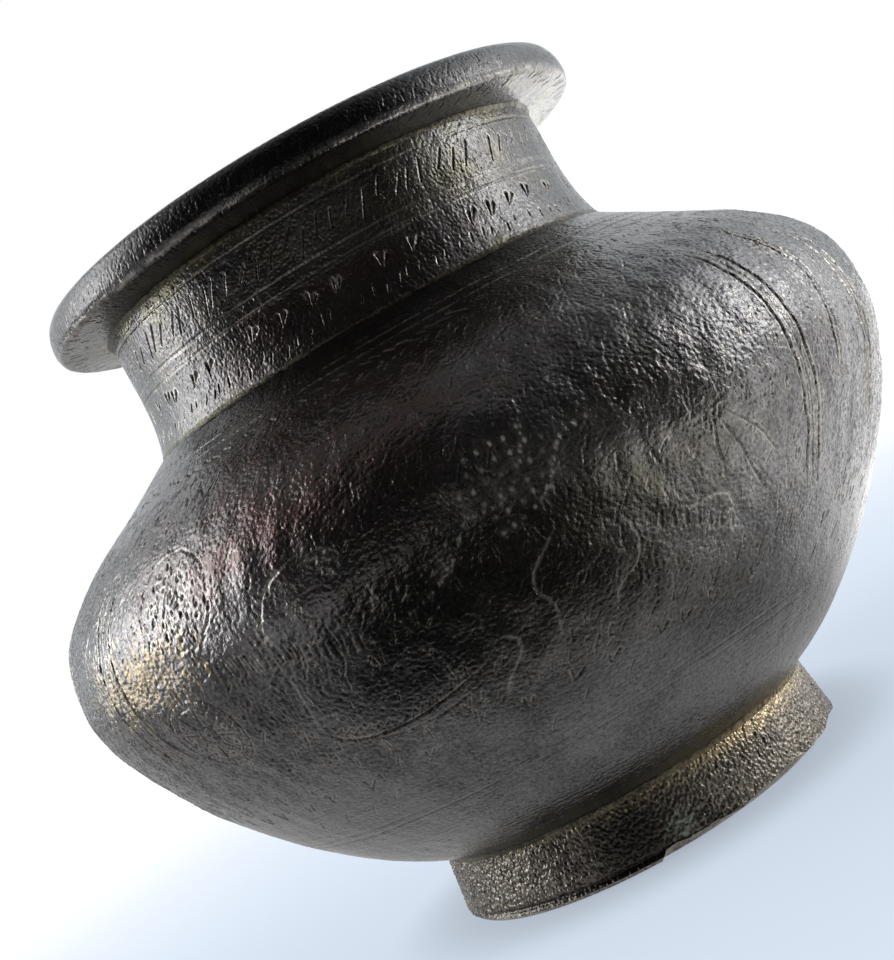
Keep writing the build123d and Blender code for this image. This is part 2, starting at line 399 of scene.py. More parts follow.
def medallion(work, angle, z, radius=6.2):
    """A beaded circle round a field of deep pecks."""
    run = run_at(z)
    mm = work.degree(run)
    work.packed = None
    for k in range(30):
        turn = 2 * math.pi * (k + 0.3 * work.rng.uniform(-1, 1)) / 30
        reach = radius * (1.12 + 0.04 * work.rng.normal())
        work.dash(angle + reach * math.sin(turn) / mm, run + reach * math.cos(turn),
                  1.3, 90 + math.degrees(turn), 0.4, 0.14, 0.5)
    work.packed = False
    for k in range(40):
        turn, reach = 2.4 * k, radius * 0.9 * math.sqrt((k + 0.5) / 40)
        scatter = work.rng.normal(0, 0.25, 2)
        work.dash(angle + (reach * math.sin(turn) + scatter[0]) / mm,
                  run + reach * math.cos(turn) + scatter[1], work.rng.uniform(0.3, 1.2),
                  14 * work.rng.normal(), 0.42, work.rng.uniform(0.08, 0.2), 0.5)
    work.packed = True


def feather(work, angle, z, length=16, lean=9.0):
    """A leaf spray: a bowed spine with comb ticks down both sides."""
    places = [(angle + lean * (t - t * t * 0.35), z + length * t) for t in (0, 0.3, 0.6, 1)]
    work.path(places, 0.4, 0.1)
    for k in range(12):
        t = (k + 0.5) / 12
        at = angle + lean * (t - t * t * 0.35)
        reach = 2.6 * math.sin(math.pi * min(1, t + 0.12)) + 0.5
        run = run_at(z + length * t)
        mm = work.degree(run)
        work.dash(at + reach / 2 / mm, run + 0.5, reach, 62, 0.28, 0.1)
        work.dash(at - reach / 2 / mm, run + 0.5, reach, -58, 0.28, 0.08)


def dot_field(work, angle, z_low, z_high, columns, gap=2.0):
    """Oval punch marks in staggered rows."""
    mm = math.radians(1) * BELLY_RADIUS
    rows = int((z_high - z_low) / gap)
    for r in range(rows):
        z = z_low + gap * (r + 0.5)
        shrink = 1 - 0.35 * abs(2 * r / max(1, rows - 1) - 1)
        for c in range(int(columns * shrink)):
            place = angle + (c - columns * shrink / 2 + 0.5 * (r % 2)) * gap / mm
            jitter = work.rng.normal(0, 0.18, 2)
            work.dot(place + jitter[0] / mm, run_at(z) + jitter[1], 0.44, 0.62, 0.05, 0.3,
                     work.rng.uniform(0.35, 1.0))


def beads(work, places, gap=1.6, size=0.46):
    """A string of punched dots along a curve given as (angle, height)."""
    points = np.array(places, float)
    mm = math.radians(1) * BELLY_RADIUS
    along_it = np.r_[0, np.cumsum(np.hypot(np.diff(points[:, 0]) * mm, np.diff(points[:, 1])))]
    for reach in np.arange(0, along_it[-1], gap):
        spot = reach + work.rng.normal(0, 0.2)
        angle, z = (np.interp(spot, along_it, points[:, k]) for k in (0, 1))
        grow = work.rng.uniform(0.7, 1.1)
        work.dot(angle, run_at(z), size * grow, 1.35 * size * grow, 0.05, 0.3,
                 work.rng.uniform(0.6, 1.0))


def border(work, angle, z_low, z_high, lines=3, gap=1.3, bow=0.0):
    """An upright band of scribed lines between two panels."""
    steps = np.linspace(0, 1, 6)
    work.packed = False
    for k in range(lines):
        shift = (k - (lines - 1) / 2) * math.degrees(gap / BELLY_RADIUS)
        places = [(angle + shift + bow * (1 - (2 * t - 1) ** 2), z_low + (z_high - z_low) * t)
                  for t in steps]
        work.path(places, 0.62 if k % 2 == 0 else 0.46, 0.2 if k % 2 == 0 else 0.12, 0.5)
    work.packed = True


def scroll(work, angle, z, size, turn=1.0):
    """An S-shaped tendril."""
    shape = [(0.5, 1.0), (0.1, 0.75), (-0.35, 0.45), (-0.1, 0.1), (0.15, -0.3), (0.0, -0.8)]
    wide = math.degrees(size / BELLY_RADIUS)
    work.path([(angle + turn * wide * x, z + size * y) for x, y in shape], 0.45, 0.13)


def front_panel(work):
    """The panel between the two borders at the front."""
    rosette(work, -42, 50.4, 6.3)
    medallion(work, -36, 68.8)
    small_flower(work, -16, 63)
    small_flower(work, -38, 42)
    small_flower(work, -27, 58, 1.2)
    dot_field(work, 5, 56.5, 66.5, 8)
    beads(work, [(14, 62.7), (10.8, 62.6), (9.2, 60.7), (8, 58.6), (6.4, 56.9), (4.2, 55.7),
                 (0, 55.0)])
    beads(work, [(7.6, 65.6), (5.6, 61.5), (3.9, 59.5), (1.8, 58.4), (-1.6, 59.0), (-3.0, 57.8),
                 (-3.9, 56.0), (-6.6, 54.0), (-9.0, 52.6), (-13, 51.8)], 1.15, 0.36)
    for k in range(8):
        work.dash(-5.1 - 0.12 * k, run_at(59.2 - 0.7 * k), 1.7, 84, 0.28, 0.08)
    work.path([(5.5, 52.4), (2.2, 49.4), (1.0, 46.9), (2.0, 43.6), (1.1, 39.9)])
    work.path([(12.4, 50.1), (13.4, 46.6), (12.5, 43.4), (9.4, 41.6), (8.5, 39.5)])
    work.path([(-6.6, 48.7), (-5.6, 47.2), (-6.2, 45.5)])
    work.path([(-4.6, 43.8), (-3.4, 42.2), (-4.0, 40.3), (-6.4, 38.2), (-8.3, 35.6)])
    work.path([(20, 45.9), (23.6, 45.7), (25.9, 44.2), (25.8, 40.3)])
    work.path([(-19.4, 65.5), (-23.6, 63.6), (-26.6, 57.6), (-27.3, 50.7), (-29.2, 43.4)])
    work.packed = False
    work.path([(26.5, 55.3), (28.6, 49.5), (31, 42.3)], 0.44, 0.15)
    work.path([(27.5, 55.3), (31.5, 50.4), (34, 46.2)], 0.44, 0.15)
    work.path([(26.5, 55.3), (25.6, 51.0), (25.9, 47.6)], 0.4, 0.13)
    work.path([(-29.2, 43.4), (-27.6, 41.2), (-24, 39.9), (-16.6, 39.7), (-8, 41.5)], 0.46, 0.15)
    work.path([(-21.5, 60), (-19.6, 56), (-20.4, 51), (-23.4, 47)])
    work.path([(-26.4, 41.0), (-22.5, 38.9), (-16.0, 38.4), (-9.5, 39.6)])
    for k in range(9):
        work.dash(-24.6 + 0.9 * k, run_at(54.8 - 0.35 * k), 1.9, 14, 0.4, 0.12)
    for k in range(16):
        work.dash(-27.5 + 1.15 * k, run_at(42.6 - 2.2 * math.sin(math.pi * k / 16)), 1.7,
                  72 - 3.5 * k, 0.34, 0.12)
    for k in range(12):
        work.dash(-34.5 + 0.95 * k, run_at(57.5 - 0.2 * k), 2.6, 4, 0.36, 0.14)
    work.packed = True
    for k in range(7):
        work.wedge(16.5 + 1.5 * k, run_at(46.8 - 0.9 * k), 2.2, 12, 0.7, 0.13)
    border(work, -49.8, 47, 75, 3, 2.2, -2.6)
    border(work, 40, 39, 75, 3, 1.6, 2.0)
    border(work, 49, 50, 76, 2, 1.3, 2.4)
    border(work, 58, 41, 72, 3, 1.5, 2.0)


def side_panel(work, centre, flip):
    """One of the other three panels, cut with sprays, flowers and tendrils."""
    rosette(work, centre - 22 * flip, 51, 5.6, 7)
    medallion(work, centre + 24 * flip, 66.5, 5.0)
    feather(work, centre - 8 * flip, 47, 17, 8 * flip)
    dot_field(work, centre + 9 * flip, 50, 66, 8)
    small_flower(work, centre - 17 * flip, 65)
    small_flower(work, centre + 24 * flip, 47)
    scroll(work, centre + 16 * flip, 47.5, 7, flip)
    scroll(work, centre - 32 * flip, 62, 8, -flip)
    scroll(work, centre + 1 * flip, 44.5, 5.5, flip)
    work.path([(centre - 27 * flip, 45), (centre - 18 * flip, 41), (centre - 8 * flip, 41.5)])
    work.path([(centre - 14 * flip, 74), (centre - 4 * flip, 76), (centre + 8 * flip, 73.5)])


def paired_wedges(work, z, count, length, width, depth, spread=22, skip=0.05, slant=24):
    """A band of V marks, each struck as two wedges."""
    run = run_at(z)
    mm = work.degree(run)
    for k in range(count):
        angle = 360 * (k + 0.35 * work.rng.uniform(-1, 1)) / count - 180
        rise, lean = work.rng.normal(0, 0.3), slant + work.rng.normal(0, 7)
        if work.rng.uniform() < skip:
            continue
        for side in (-1, 1):
            work.wedge(angle + side * length * 0.2 / mm, run + rise + work.rng.normal(0, 0.15),
                       length * work.rng.uniform(0.85, 1.15),
                       side * spread + 180 + lean + work.rng.normal(0, 5), width, depth)


def strokes_round(work, z, count, length, tilt, width, depth, wander=0.35, skip=0.06):
    """A band of single strokes right round the pot."""
    run = run_at(z)
    for k in range(count):
        angle = 360 * (k + 0.28 * work.rng.uniform(-1, 1)) / count - 180
        if work.rng.uniform() < skip:
            continue
        work.dash(angle, run + work.rng.normal(0, wander), length * work.rng.uniform(0.75, 1.2),
                  tilt + work.rng.normal(0, 7), width * work.rng.uniform(0.8, 1.2),
                  depth * work.rng.uniform(0.7, 1.3))


def neck_bands(work):
    """The bands cut round the neck, from under the rim to the shoulder."""
    work.packed = None
    work.ring(108.9, 0.36, 0.13, 0.5)
    work.ring(101.5, 0.36, 0.15, 0.6)
    work.ring(99.7, 0.36, 0.14, 0.6)
    paired_wedges(work, 96.6, 50, 2.0, 0.62, 0.2, 15)
    work.packed = False
    strokes_round(work, 105.4, 96, 3.6, 32, 0.30, 0.16, 0.4, 0.08)
    for k in range(20):
        angle = work.rng.uniform(-180, 180)
        work.dash(angle, run_at(105 + work.rng.normal(0, 0.9)), 2.2, -20, 0.26, 0.1)
    strokes_round(work, 92.9, 120, 1.2, 26, 0.32, 0.13)
    work.packed = True
    strokes_round(work, 110.2, 90, 0.9, 30, 0.32, 0.06)


def shoulder_bands(work):
    """Scribed rings, beads and ticks under the neck."""
    work.packed = None
    work.ring(86.4, 0.42, 0.14, 0.5)
    work.ring(85.1, 0.42, 0.15, 0.5)
    work.packed = True
    for k in range(170):
        angle = 360 * (k + 0.3 * work.rng.uniform(-1, 1)) / 170 - 180
        work.dot(angle, run_at(87.3) + work.rng.normal(0, 0.1), 0.3, 0.3, 0.08)
    strokes_round(work, 83.7, 190, 1.7, -58, 0.34, 0.11)
    strokes_round(work, 82.1, 190, 1.3, 40, 0.34, 0.09)
    for k in range(26):
        angle = 360 * (k + 0.3 * work.rng.uniform(-1, 1)) / 26 - 180
        z = 79.5 + work.rng.normal(0, 0.6)
        zigzag = [(angle + 1.6 * i, z + (0.7 if i % 2 else -0.7)) for i in range(6)]
        work.path(zigzag, 0.34, 0.08, chalk=0.0)


def low_bands(work):
    """The band of struck V marks and the scribed rings low on the bowl."""
    work.packed = False
    paired_wedges(work, 33.6, 66, 2.1, 0.36, 0.17, 20, 0.18)
    strokes_round(work, 36.8, 105, 2.2, 30, 0.28, 0.11, 0.8, 0.2)
    strokes_round(work, 30.3, 60, 2.4, 36, 0.28, 0.11, 0.8, 0.35)
    work.ring(25.2, 0.36, 0.11)
    work.ring(26.3, 0.34, 0.09)
    work.packed = True


def rim_ticks(work):
    """Nicks round the rim's edge and on its underside."""
    edge = run_at(114.6)
    for k in range(210):
        angle = 360 * (k + 0.4 * work.rng.uniform(-1, 1)) / 210 - 180
        work.dash(angle, edge + work.rng.normal(0, 0.6), work.rng.uniform(0.9, 2.0),
                  20 + work.rng.normal(0, 12), 0.24, 0.06)
    under = run_at(111.9)
    for k in range(120):
        angle = 360 * (k + 0.4 * work.rng.uniform(-1, 1)) / 120 - 180
        work.dash(angle, under + work.rng.normal(0, 1.0), work.rng.uniform(0.9, 1.8), 12, 0.32,
                  0.07)


def loose_strokes(work, count=4600):
    """Stray short cuts all over the body, mostly upright."""
    low, high = run_at(34), run_at(82)
    for run, angle, length, tilt, deep in zip(
            work.rng.uniform(low, high, count), work.rng.uniform(-180, 180, count),
            work.rng.uniform(0.8, 2.1, count), work.rng.normal(20, 20, count),
            work.rng.uniform(0.02, 0.11, count)):
        work.packed = False if deep > 0.085 else None
        work.dash(angle, run, length, tilt, 0.32, deep, 0.5)
    work.packed = True


def long_scratches(work, count=46):
    """Fine later scratches at odd slants."""
    for _ in range(count):
        run, angle = work.rng.uniform(4, 125), work.rng.uniform(-180, 180)
        work.dash(angle, run, work.rng.uniform(3, 9), work.rng.uniform(-80, 80), 0.24, 0.035, 0.5)


def ground(work):
    """The skin under the ornament: cast lumps, hammered worms, turning marks and pits."""
    body = work.zone(36, 80, 7)
    upper = work.zone(80, 111, 4)
    low = work.zone(11, 33, 6)
    foot = work.zone(-2, 11, 0.8)
    rim = work.zone(111, 119, 1)
    inside = 1 / (1 + np.exp(-(work.run - RIM_TOP_RUN - 2))).astype(np.float32)[:, None]

    peel = work.grain(1.15, 1.35, 1)
    fine = work.grain(0.60, 0.75, 2, 0.5)
    worm = np.clip(1 - np.abs(work.grain(1.05, 1.9, 3, 0.42)) * 1.9, 0, 1) ** 0.8
    lumps = work.grain(5.0, 7.0, 4)
    dents = work.grain(26, 20, 5, 0.5)
    lathe = work.grain(30, 0.55, 6, 0.5)
    sand = work.grain(0.85, 0.58, 7, 0.5, 34)
    crumbs = np.clip(work.grain(1.5, 1.1, 8, 0.5, 34) - 0.6, 0, 3)
    pits = np.clip(work.grain(1.0, 1.0, 9) - 1.9, 0, 1.2)
    narrow = work.grain(0.85, 0.62, 10, 0.5, 43)

    calm = 1 - 0.62 * work.patch(8, 56, 46, 28)
    work.surface += (0.018 * peel + 0.028 * fine + 0.036 * worm) * (body * calm + 0.06 * low)
    work.surface += 0.013 * narrow * (upper + 0.2 * rim + 0.4 * low)
    work.surface += (0.045 * lumps + 0.10 * dents) * (body + 0.35 * upper + 0.12 * rim + 0.4 * low)
    work.surface += 0.010 * lathe * (1.5 * low + 0.5 * upper + 0.5 * inside)
    work.surface += (0.046 * sand + 0.06 * crumbs) * foot
    work.surface += 0.03 * narrow * inside
    work.surface -= 0.09 * pits * (body + upper + low + rim)


def engrave():
    """Cuts the whole skin, and returns the height map and the masks the finishes use."""
    work = Engraving()
    ground(work)
    loose_strokes(work)
    front_panel(work)
    side_panel(work, 95, 1)
    side_panel(work, 180, -1)
    side_panel(work, -96, 1)
    border(work, 131, 42, 75, 3, 1.7, 2.0)
    border(work, -138, 42, 75, 3, 1.7, -2.0)
    neck_bands(work)
    shoulder_bands(work)
    low_bands(work)
    rim_ticks(work)
    long_scratches(work)
    return work


def foot_lip(work):
    """The foot's beaten lower edge: a thin lip, at the left of the front only."""
    foot = (work.run < 0)[:, None]
    lip = np.clip((work.patch(-28, 1.0, 66, 4) - 0.35) * 3, 0, 1)
    line = np.exp(-((work.z - 1.5)[:, None] / 0.35) ** 2) * foot
    work.groove = np.maximum(work.groove, 0.3 * line * lip)
    # Painted shade: the groove above the lip is painted dark.
    work.open = np.maximum(work.open, 0.8 * line * lip)
    work.surface += 0.12 * np.exp(-((work.z - 0.7)[:, None] / 0.5) ** 2) * lip * foot


def tone_masks(work):
    """Where the metal is bare, olive, russet, sooty or dusty, and where shade is painted on the
    neck and the rim's face.
    """
    speckle = work.grain(1.6, 1.8, 21, 0.6)
    cloud = work.grain(14, 11, 22, 0.6)
    brushed = work.grain(1.1, 6.0, 23, 0.5)
    outside = (work.run <= RIM_TOP_RUN)[:, None]
    foot = (work.run < 0)[:, None]

    scrape = work.patch(-48, 61.2, 17, 7.5) * 1.5 + 0.65 * brushed - 0.62
    bare = np.clip(scrape * 1.1, 0, 0.6) * (work.patch(-48, 61.2, 24, 12) > 0.35)
    crease = 0.95 * work.patch(35, 10.4, 56, 3.6) + 0.25 * work.patch(-20, 10.8, 70, 2.4)
    rubbed = np.clip(crease * 1.2 + 0.25 * speckle - 0.25, 0, 0.75) * (crease > 0.12)
    bare = np.maximum(bare, rubbed) * outside

    olive = (0.9 * work.zone(109, 112, 2) + 0.25 * work.zone(98, 108, 6)
             + 0.3 * work.zone(89, 92, 2) + 0.7 * work.zone(10.6, 15, 4))
    olive = np.clip(olive * (0.6 + 0.5 * cloud), 0, 1)
    olive = olive + 0.5 * work.patch(11, 50, 30, 26) + 0.6 * work.patch(16, 104, 46, 10)
    russet = (work.patch(-13, 81, 46, 24) + 0.4 * work.patch(-16, 96, 26, 12)
              + 0.7 * work.patch(-15, 72, 36, 18) + 0.7 * work.patch(150, 76, 60, 20)
              + 0.6 * work.patch(8, 96.5, 36, 8))
    dark = 0.95 * work.patch(-7, 5, 27, 10) + 0.6 * work.patch(-34, 0.8, 60, 2.4)
    # From here the dark mask is painted shade, not soot: the rim's upright face, and the neck at
    # left and right where the side lamps light it.
    dark = dark * foot + 0.75 * work.zone(113.2, 116.9, 1)
    dark = dark + 0.6 * work.patch(-50, 97, 44, 16) + 0.45 * work.patch(44, 101, 40, 14)
    verdigris = np.clip(work.patch(5, 3.4, 8, 5) * 1.2 + 0.25 * speckle - 0.55, 0, 0.7)
    verdigris = verdigris * foot
    dust = np.maximum(np.clip(work.grain(1.1, 1.1, 24, 0.6) - 2.9, 0, 1), work.chalk)
    return {"bare": bare, "olive": np.clip(olive, 0, 1), "russet": np.clip(russet, 0, 1),
            "dark": np.clip(dark, 0, 1), "verdigris": verdigris, "dust": dust}


WORK = engrave()
foot_lip(WORK)
TONES = tone_masks(WORK)
CUT = np.clip(WORK.groove / DEEP_CUT, 0, 1)
WORN = np.clip(WORK.burr / HIGH_LIP, 0, 1) * (1 - CUT)
# The rim's crisp lower edge is painted lighter: partly rubbed wear, partly a painted highlight
# along the edge.
RIM_EDGE_WEAR_AND_HIGHLIGHT = WORK.zone(112.1, 112.9, 0.4) * np.clip(0.7 + 0.4 * WORK.grain(5, 1.0, 41, 0.6), 0, 1)
DUSTY = np.clip(1.6 * WORK.patch(2, 52, 62, 46) + WORK.patch(-8, 84.5, 90, 12) - 0.25, 0, 1)
# Filled cuts outside the dusty front are painted dark as shade instead of pale dirt.
TONES.update(filled=WORK.filled * DUSTY, worn=np.maximum(WORN, RIM_EDGE_WEAR_AND_HIGHLIGHT),
             open=np.maximum(0.8 * WORK.open, 0.8 * WORK.filled * (1 - DUSTY)))
TONES["dust"] = TONES["dust"] * (0.15 + 0.85 * DUSTY)
RELIEF = WORK.surface - CUT_DEPTH * WORK.groove + WORK.burr * (1 - CUT)


def foot_wear(angle):
    """How much of the foot's outer lower edge has broken away, in millimetres."""
    turn = np.radians(angle)
    rough = 0.30 * np.sin(11 * turn + 1) + 0.14 * np.sin(27 * turn + 2) + 0.05 * np.sin(71 * turn)
    front_right = np.clip((angle + 4) / 2.2, 0, 1) * np.clip((84 - angle) / 12, 0, 1)
    behind = np.clip((np.abs(angle) - 84) / 20, 0, 1) * (0.5 + 0.5 * np.sin(3 * turn + 1.0))
    return np.clip(front_right * (1.15 + rough) + behind * (0.6 + rough) + 0.08, 0, 3)


# ================================================================ meshes
class Section:
    """A closed section, built up stretch by stretch, ready to be turned into a casting."""

    def __init__(self):
        """Starts with no points."""
        self.points, self.runs, self.skins = [], [], []
        self.inner, self.sharp = [], []

    def skin(self, line, gap, start_run):
        """A stretch of the engraved skin; start_run places its first point on the map."""
        points = spaced(joined(line), gap)
        self._add(points, start_run + lengths(points), True, False)

    def wall(self, line, gap=ROW_INSIDE, inner=False):
        """A plain stretch: the inside, or a face hidden in a joint."""
        points = spaced(joined(line), gap)
        self._add(points, np.zeros(len(points)), False, inner)

    def _add(self, points, runs, skin, inner):
        """Adds a stretch. Its first point is dropped if the last stretch ended there."""
        first = 0
        if self.points and np.hypot(*(self.points[-1] - points[0])) < 1e-4:
            first = 1
            self.sharp[-1] = True
            if skin:
                self.runs[-1], self.skins[-1] = runs[0], True
        for k in range(first, len(points)):
            self.points.append(points[k])
            self.runs.append(runs[k])
            self.skins.append(skin)
            self.inner.append(inner)
            self.sharp.append(False)
        if first == 0:
            self.sharp[-len(points)] = True
        self.sharp[-1] = True

    def close(self):
        """Drops the last point if it repeats the first."""
        if np.hypot(*(self.points[-1] - self.points[0])) < 1e-4:
            for row in (self.points, self.runs, self.skins, self.inner, self.sharp):
                row.pop()
        return self


def map_rows(values, runs):
    """Rows of a map at the given runs, blended between its own rows."""
    place = np.clip((np.asarray(runs) - WORK.run[0]) / MAP_STEP, 0, len(WORK.run) - 1.001)
    low = place.astype(int)
    part = (place - low).astype(np.float32)[:, None]
    return values[low] * (1 - part) + values[low + 1] * part


def outward(steps):
    """Unit directions at right angles to steps along a line, out of the metal."""
    out = np.c_[steps[:, 1], -steps[:, 0]]
    return out / (np.hypot(*out.T)[:, None] + 1e-12)


def normals_of(points, closed):
    """Unit directions out of the metal at each point of a section."""
    if closed:
        return outward(np.roll(points, -1, 0) - np.roll(points, 1, 0))
    return outward(np.vstack([points[1:], points[-1:]]) - np.vstack([points[:1], points[:-1]]))


def skin_points(runs):
    """Points on the outline of the skin, at the given runs."""
    return np.c_[np.interp(runs, SKIN_RUN, SKIN[:, 0]), np.interp(runs, SKIN_RUN, SKIN[:, 1])]


def skin_normals(runs, reach=0.35):
    """Unit directions out of the metal on the skin, at the given runs."""
    return outward(skin_points(runs + reach) - skin_points(runs - reach))


def quad_corners(v, count):
    """Texture places of the four-sided faces between rows."""
    u = np.linspace(0, 1, COLUMNS + 1)
    low, high = (np.broadcast_to(side[:, None], (count, COLUMNS))
                 for side in (v[:count], v[1:count + 1]))
    left, right = (np.broadcast_to(side, (count, COLUMNS)) for side in (u[:-1], u[1:]))
    corners = ((left, low), (right, low), (right, high), (left, high))
    return np.stack([np.stack(corner, -1) for corner in corners], 2).reshape(-1, 2)


def fan_corners(v_pole, v_row, flip):
    """Texture places of the triangles that meet on the axis."""
    u = np.linspace(0, 1, COLUMNS + 1)
    corners = [np.c_[(u[:-1] + u[1:]) / 2, np.full(COLUMNS, v_pole)],
               np.c_[u[:-1], np.full(COLUMNS, v_row)], np.c_[u[1:], np.full(COLUMNS, v_row)]]
    return np.stack(corners[::-1] if flip else corners, 1).reshape(-1, 2)


class Turning:
    """The points and faces of a casting, gathered section by section."""

    def __init__(self):
        """Starts with nothing turned."""
        self.verts, self.row_of, self.sharp_rows, self.count = [], [], [], 0
        self.quads, self.quad_uv, self.quad_inner = [], [], []
        self.tris, self.tri_uv, self.tri_inner = [], [], []
        self.masks = {key: [] for key in TONES}

    def add(self, section, v_start, share, shape):
        """Turns a section, whose texture fills a share of the square from v_start up."""
        points, runs = np.array(section.points), np.array(section.runs)
        skins, rows = np.array(section.skins), len(section.points)
        closed = points[0, 0] > 1e-6
        keep = slice(0, rows) if closed else slice(1, rows - 1)
        r, z = self.pressed(points, runs, skins, closed)
        if shape:
            r, z = shape(r, z, WORK.angle)
        r, z = r[keep], z[keep]
        turn = np.radians(WORK.angle)
        self.verts.append(np.stack([r * np.sin(turn), -r * np.cos(turn), z], -1).reshape(-1, 3))
        self.row_of.append(np.repeat(len(self.sharp_rows) + np.arange(len(r)), COLUMNS))
        self.sharp_rows += list(np.array(section.sharp)[keep])

        ids = self.count + np.arange(r.size).reshape(r.shape)
        self.count += r.size
        lower = ids if closed else ids[:-1]
        upper = np.roll(ids, -1, 0) if closed else ids[1:]
        corners = [lower, np.roll(lower, -1, 1), np.roll(upper, -1, 1), upper]
        self.quads.append(np.stack(corners, -1).reshape(-1, 4))
        inner = np.roll(np.array(section.inner)[keep], -1)[:len(lower)]
        self.quad_inner.append(np.repeat(inner, COLUMNS))

        run = lengths(np.vstack([points, points[:1]]) if closed else points)
        v = v_start + share * (run / run[-1] * 0.998 + 0.001)
        self.quad_uv.append(quad_corners(v if closed else v[1:-1], len(lower)))
        for key, parts in self.masks.items():
            tone = np.zeros((rows, COLUMNS), np.float32)
            tone[skins] = map_rows(TONES[key].astype(np.float32), runs[skins])
            parts.append(tone[keep].reshape(-1))
        if not closed:
            self.pole(points[0, 1], ids[0], v[0], v[1], True)
            self.pole(points[-1, 1], ids[-1], v[-1], v[-2], False)

    @staticmethod
    def pressed(points, runs, skins, closed):
        """Radii and heights all round a section, the engraving pressed into its skin."""
        out = normals_of(points, closed)
        out[skins] = skin_normals(runs[skins])
        height = np.zeros((len(points), COLUMNS), np.float32)
        height[skins] = map_rows(RELIEF, runs[skins])
        return [points[:, k, None] + out[:, k, None] * height for k in (0, 1)]

    def pole(self, z, row, v_pole, v_row, flip):
        """Closes a row on the axis with a fan of triangles."""
        self.verts.append(np.array([[0, 0, z]]))
        fan = np.stack([np.full(COLUMNS, self.count), row, np.roll(row, -1)], -1)
        self.tris.append(fan[:, ::-1] if flip else fan)
        self.tri_uv.append(fan_corners(v_pole, v_row, flip))
        self.tri_inner.append(np.full(COLUMNS, not flip))
        self.row_of.append([-1])
        for parts in self.masks.values():
            parts.append(np.zeros(1, np.float32))
        self.count += 1

    def mesh(self, name):
        """Hands the points and faces to Blender as one mesh."""
        verts = np.concatenate(self.verts) * MM
        quads = np.concatenate(self.quads)
        tris = np.concatenate(self.tris) if self.tris else np.zeros((0, 3), int)
        corners = np.r_[quads.reshape(-1), tris.reshape(-1)].astype(np.int32)
        starts = np.r_[np.arange(len(quads)) * 4, len(quads) * 4 + np.arange(len(tris)) * 3]
        mesh = bpy.data.meshes.new(name)
        mesh.vertices.add(len(verts))
        mesh.vertices.foreach_set("co", verts.astype(np.float32).reshape(-1))
        mesh.loops.add(len(corners))
        mesh.loops.foreach_set("vertex_index", corners)
        mesh.polygons.add(len(starts))
        mesh.polygons.foreach_set("loop_start", starts.astype(np.int32))
        mesh.update(calc_edges=True)
        places = np.concatenate(self.quad_uv + self.tri_uv).astype(np.float32)
        mesh.uv_layers.new(name="OFBake").data.foreach_set("uv", places.reshape(-1))
        for key, parts in self.masks.items():
            values = np.concatenate(parts)
            if values.max() > 0:
                layer = mesh.attributes.new(key, "FLOAT", "POINT")
                layer.data.foreach_set("value", values.astype(np.float32))
        self.mark_sharp(mesh)
        return mesh

    def mark_sharp(self, mesh):
        """Marks the edges that run round the pot along a sharp row."""
        row = np.concatenate([np.asarray(part) for part in self.row_of])
        ends = np.zeros(len(mesh.edges) * 2, np.int32)
        mesh.edges.foreach_get("vertices", ends)
        ends = ends.reshape(-1, 2)
        level = (row[ends[:, 0]] == row[ends[:, 1]]) & (row[ends[:, 0]] >= 0)
        layer = mesh.attributes.new("sharp_edge", "BOOLEAN", "EDGE")
        layer.data.foreach_set("value", level & np.array(self.sharp_rows)[row[ends[:, 0]]])


def turned(name, sections, finish, inner_finish=None, shape=None):
    """A casting made by turning sections about the axis, the engraving pressed into its skin."""
    made, v_start = Turning(), 0.0
    total = sum(len(section.points) for section in sections)
    for section in sections:
        share = len(section.points) / total
        made.add(section, v_start, share, shape)
        v_start += share
    mesh = made.mesh(name)
    mesh.materials.append(finish)
    if inner_finish:
        mesh.materials.append(inner_finish)
        inner = np.concatenate(made.quad_inner + made.tri_inner).astype(np.int32)
        mesh.polygons.foreach_set("material_index", inner)
    mesh.update()
    piece = bpy.data.objects.new(name, mesh)
    bpy.context.scene.collection.objects.link(piece)
    return piece


def stand_for(piece, node):
    """Fixes a piece to the pot in place of its plain CAD node."""
    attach(piece, "root")
    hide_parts(node)


# ---------------------------------------------------------------- node helpers
class Nodes:
    """Short calls for laying out shader nodes."""

    def __init__(self, tree):
        """Works in one node tree."""
        self.tree = tree

    def add(self, kind, values=(), **settings):
        """A node; each value sets one of its inputs, or is linked to it."""
        node = self.tree.nodes.new(kind)
        for key, value in settings.items():
            setattr(node, key, value)
        for key, value in dict(values).items():
            if isinstance(value, bpy.types.NodeSocket):
                self.tree.links.new(value, node.inputs[key])
            else:
                node.inputs[key].default_value = value
        return node

    def link(self, source, target):
        """Links an output to an input."""
        self.tree.links.new(source, target)

    def math(self, operation, first, second=0.0, clamp=False, third=0.0):
        """A sum on numbers."""
        return self.add("ShaderNodeMath", {0: first, 1: second, 2: third}, operation=operation,
                        use_clamp=clamp).outputs[0]

    def blend(self, share, first, second):
        """A colour between two, all of the second where the share is 1."""
        return self.add("ShaderNodeMix", {0: share, 6: first, 7: second},
                        data_type="RGBA").outputs[2]

    def spread(self, value, low, high, to_low=0.0, to_high=1.0):
        """A value eased from one range to another, and held at its ends."""
        return self.add("ShaderNodeMapRange", {0: value, 1: low, 2: high, 3: to_low, 4: to_high},
                        interpolation_type="SMOOTHSTEP").outputs[0]

    def noise(self, place, scale, detail=3.0, rough=0.55):
        """Cloudy noise."""
        return self.add("ShaderNodeTexNoise", {"Vector": place, "Scale": scale, "Detail": detail,
                                               "Roughness": rough}).outputs["Fac"]

    def mask(self, name):
        """One of the pot's own masks."""
        return self.add("ShaderNodeAttribute", attribute_name=name).outputs["Fac"]

    def bump(self, shader, pitting, strength, distance):
        """Gives a shader the fine pitting as a bump; the distance is in metres."""
        made = self.add("ShaderNodeBump", {"Height": pitting.outputs["Height"],
                                           "Strength": strength, "Distance": distance})
        self.link(made.outputs[0], shader.inputs["Normal"])


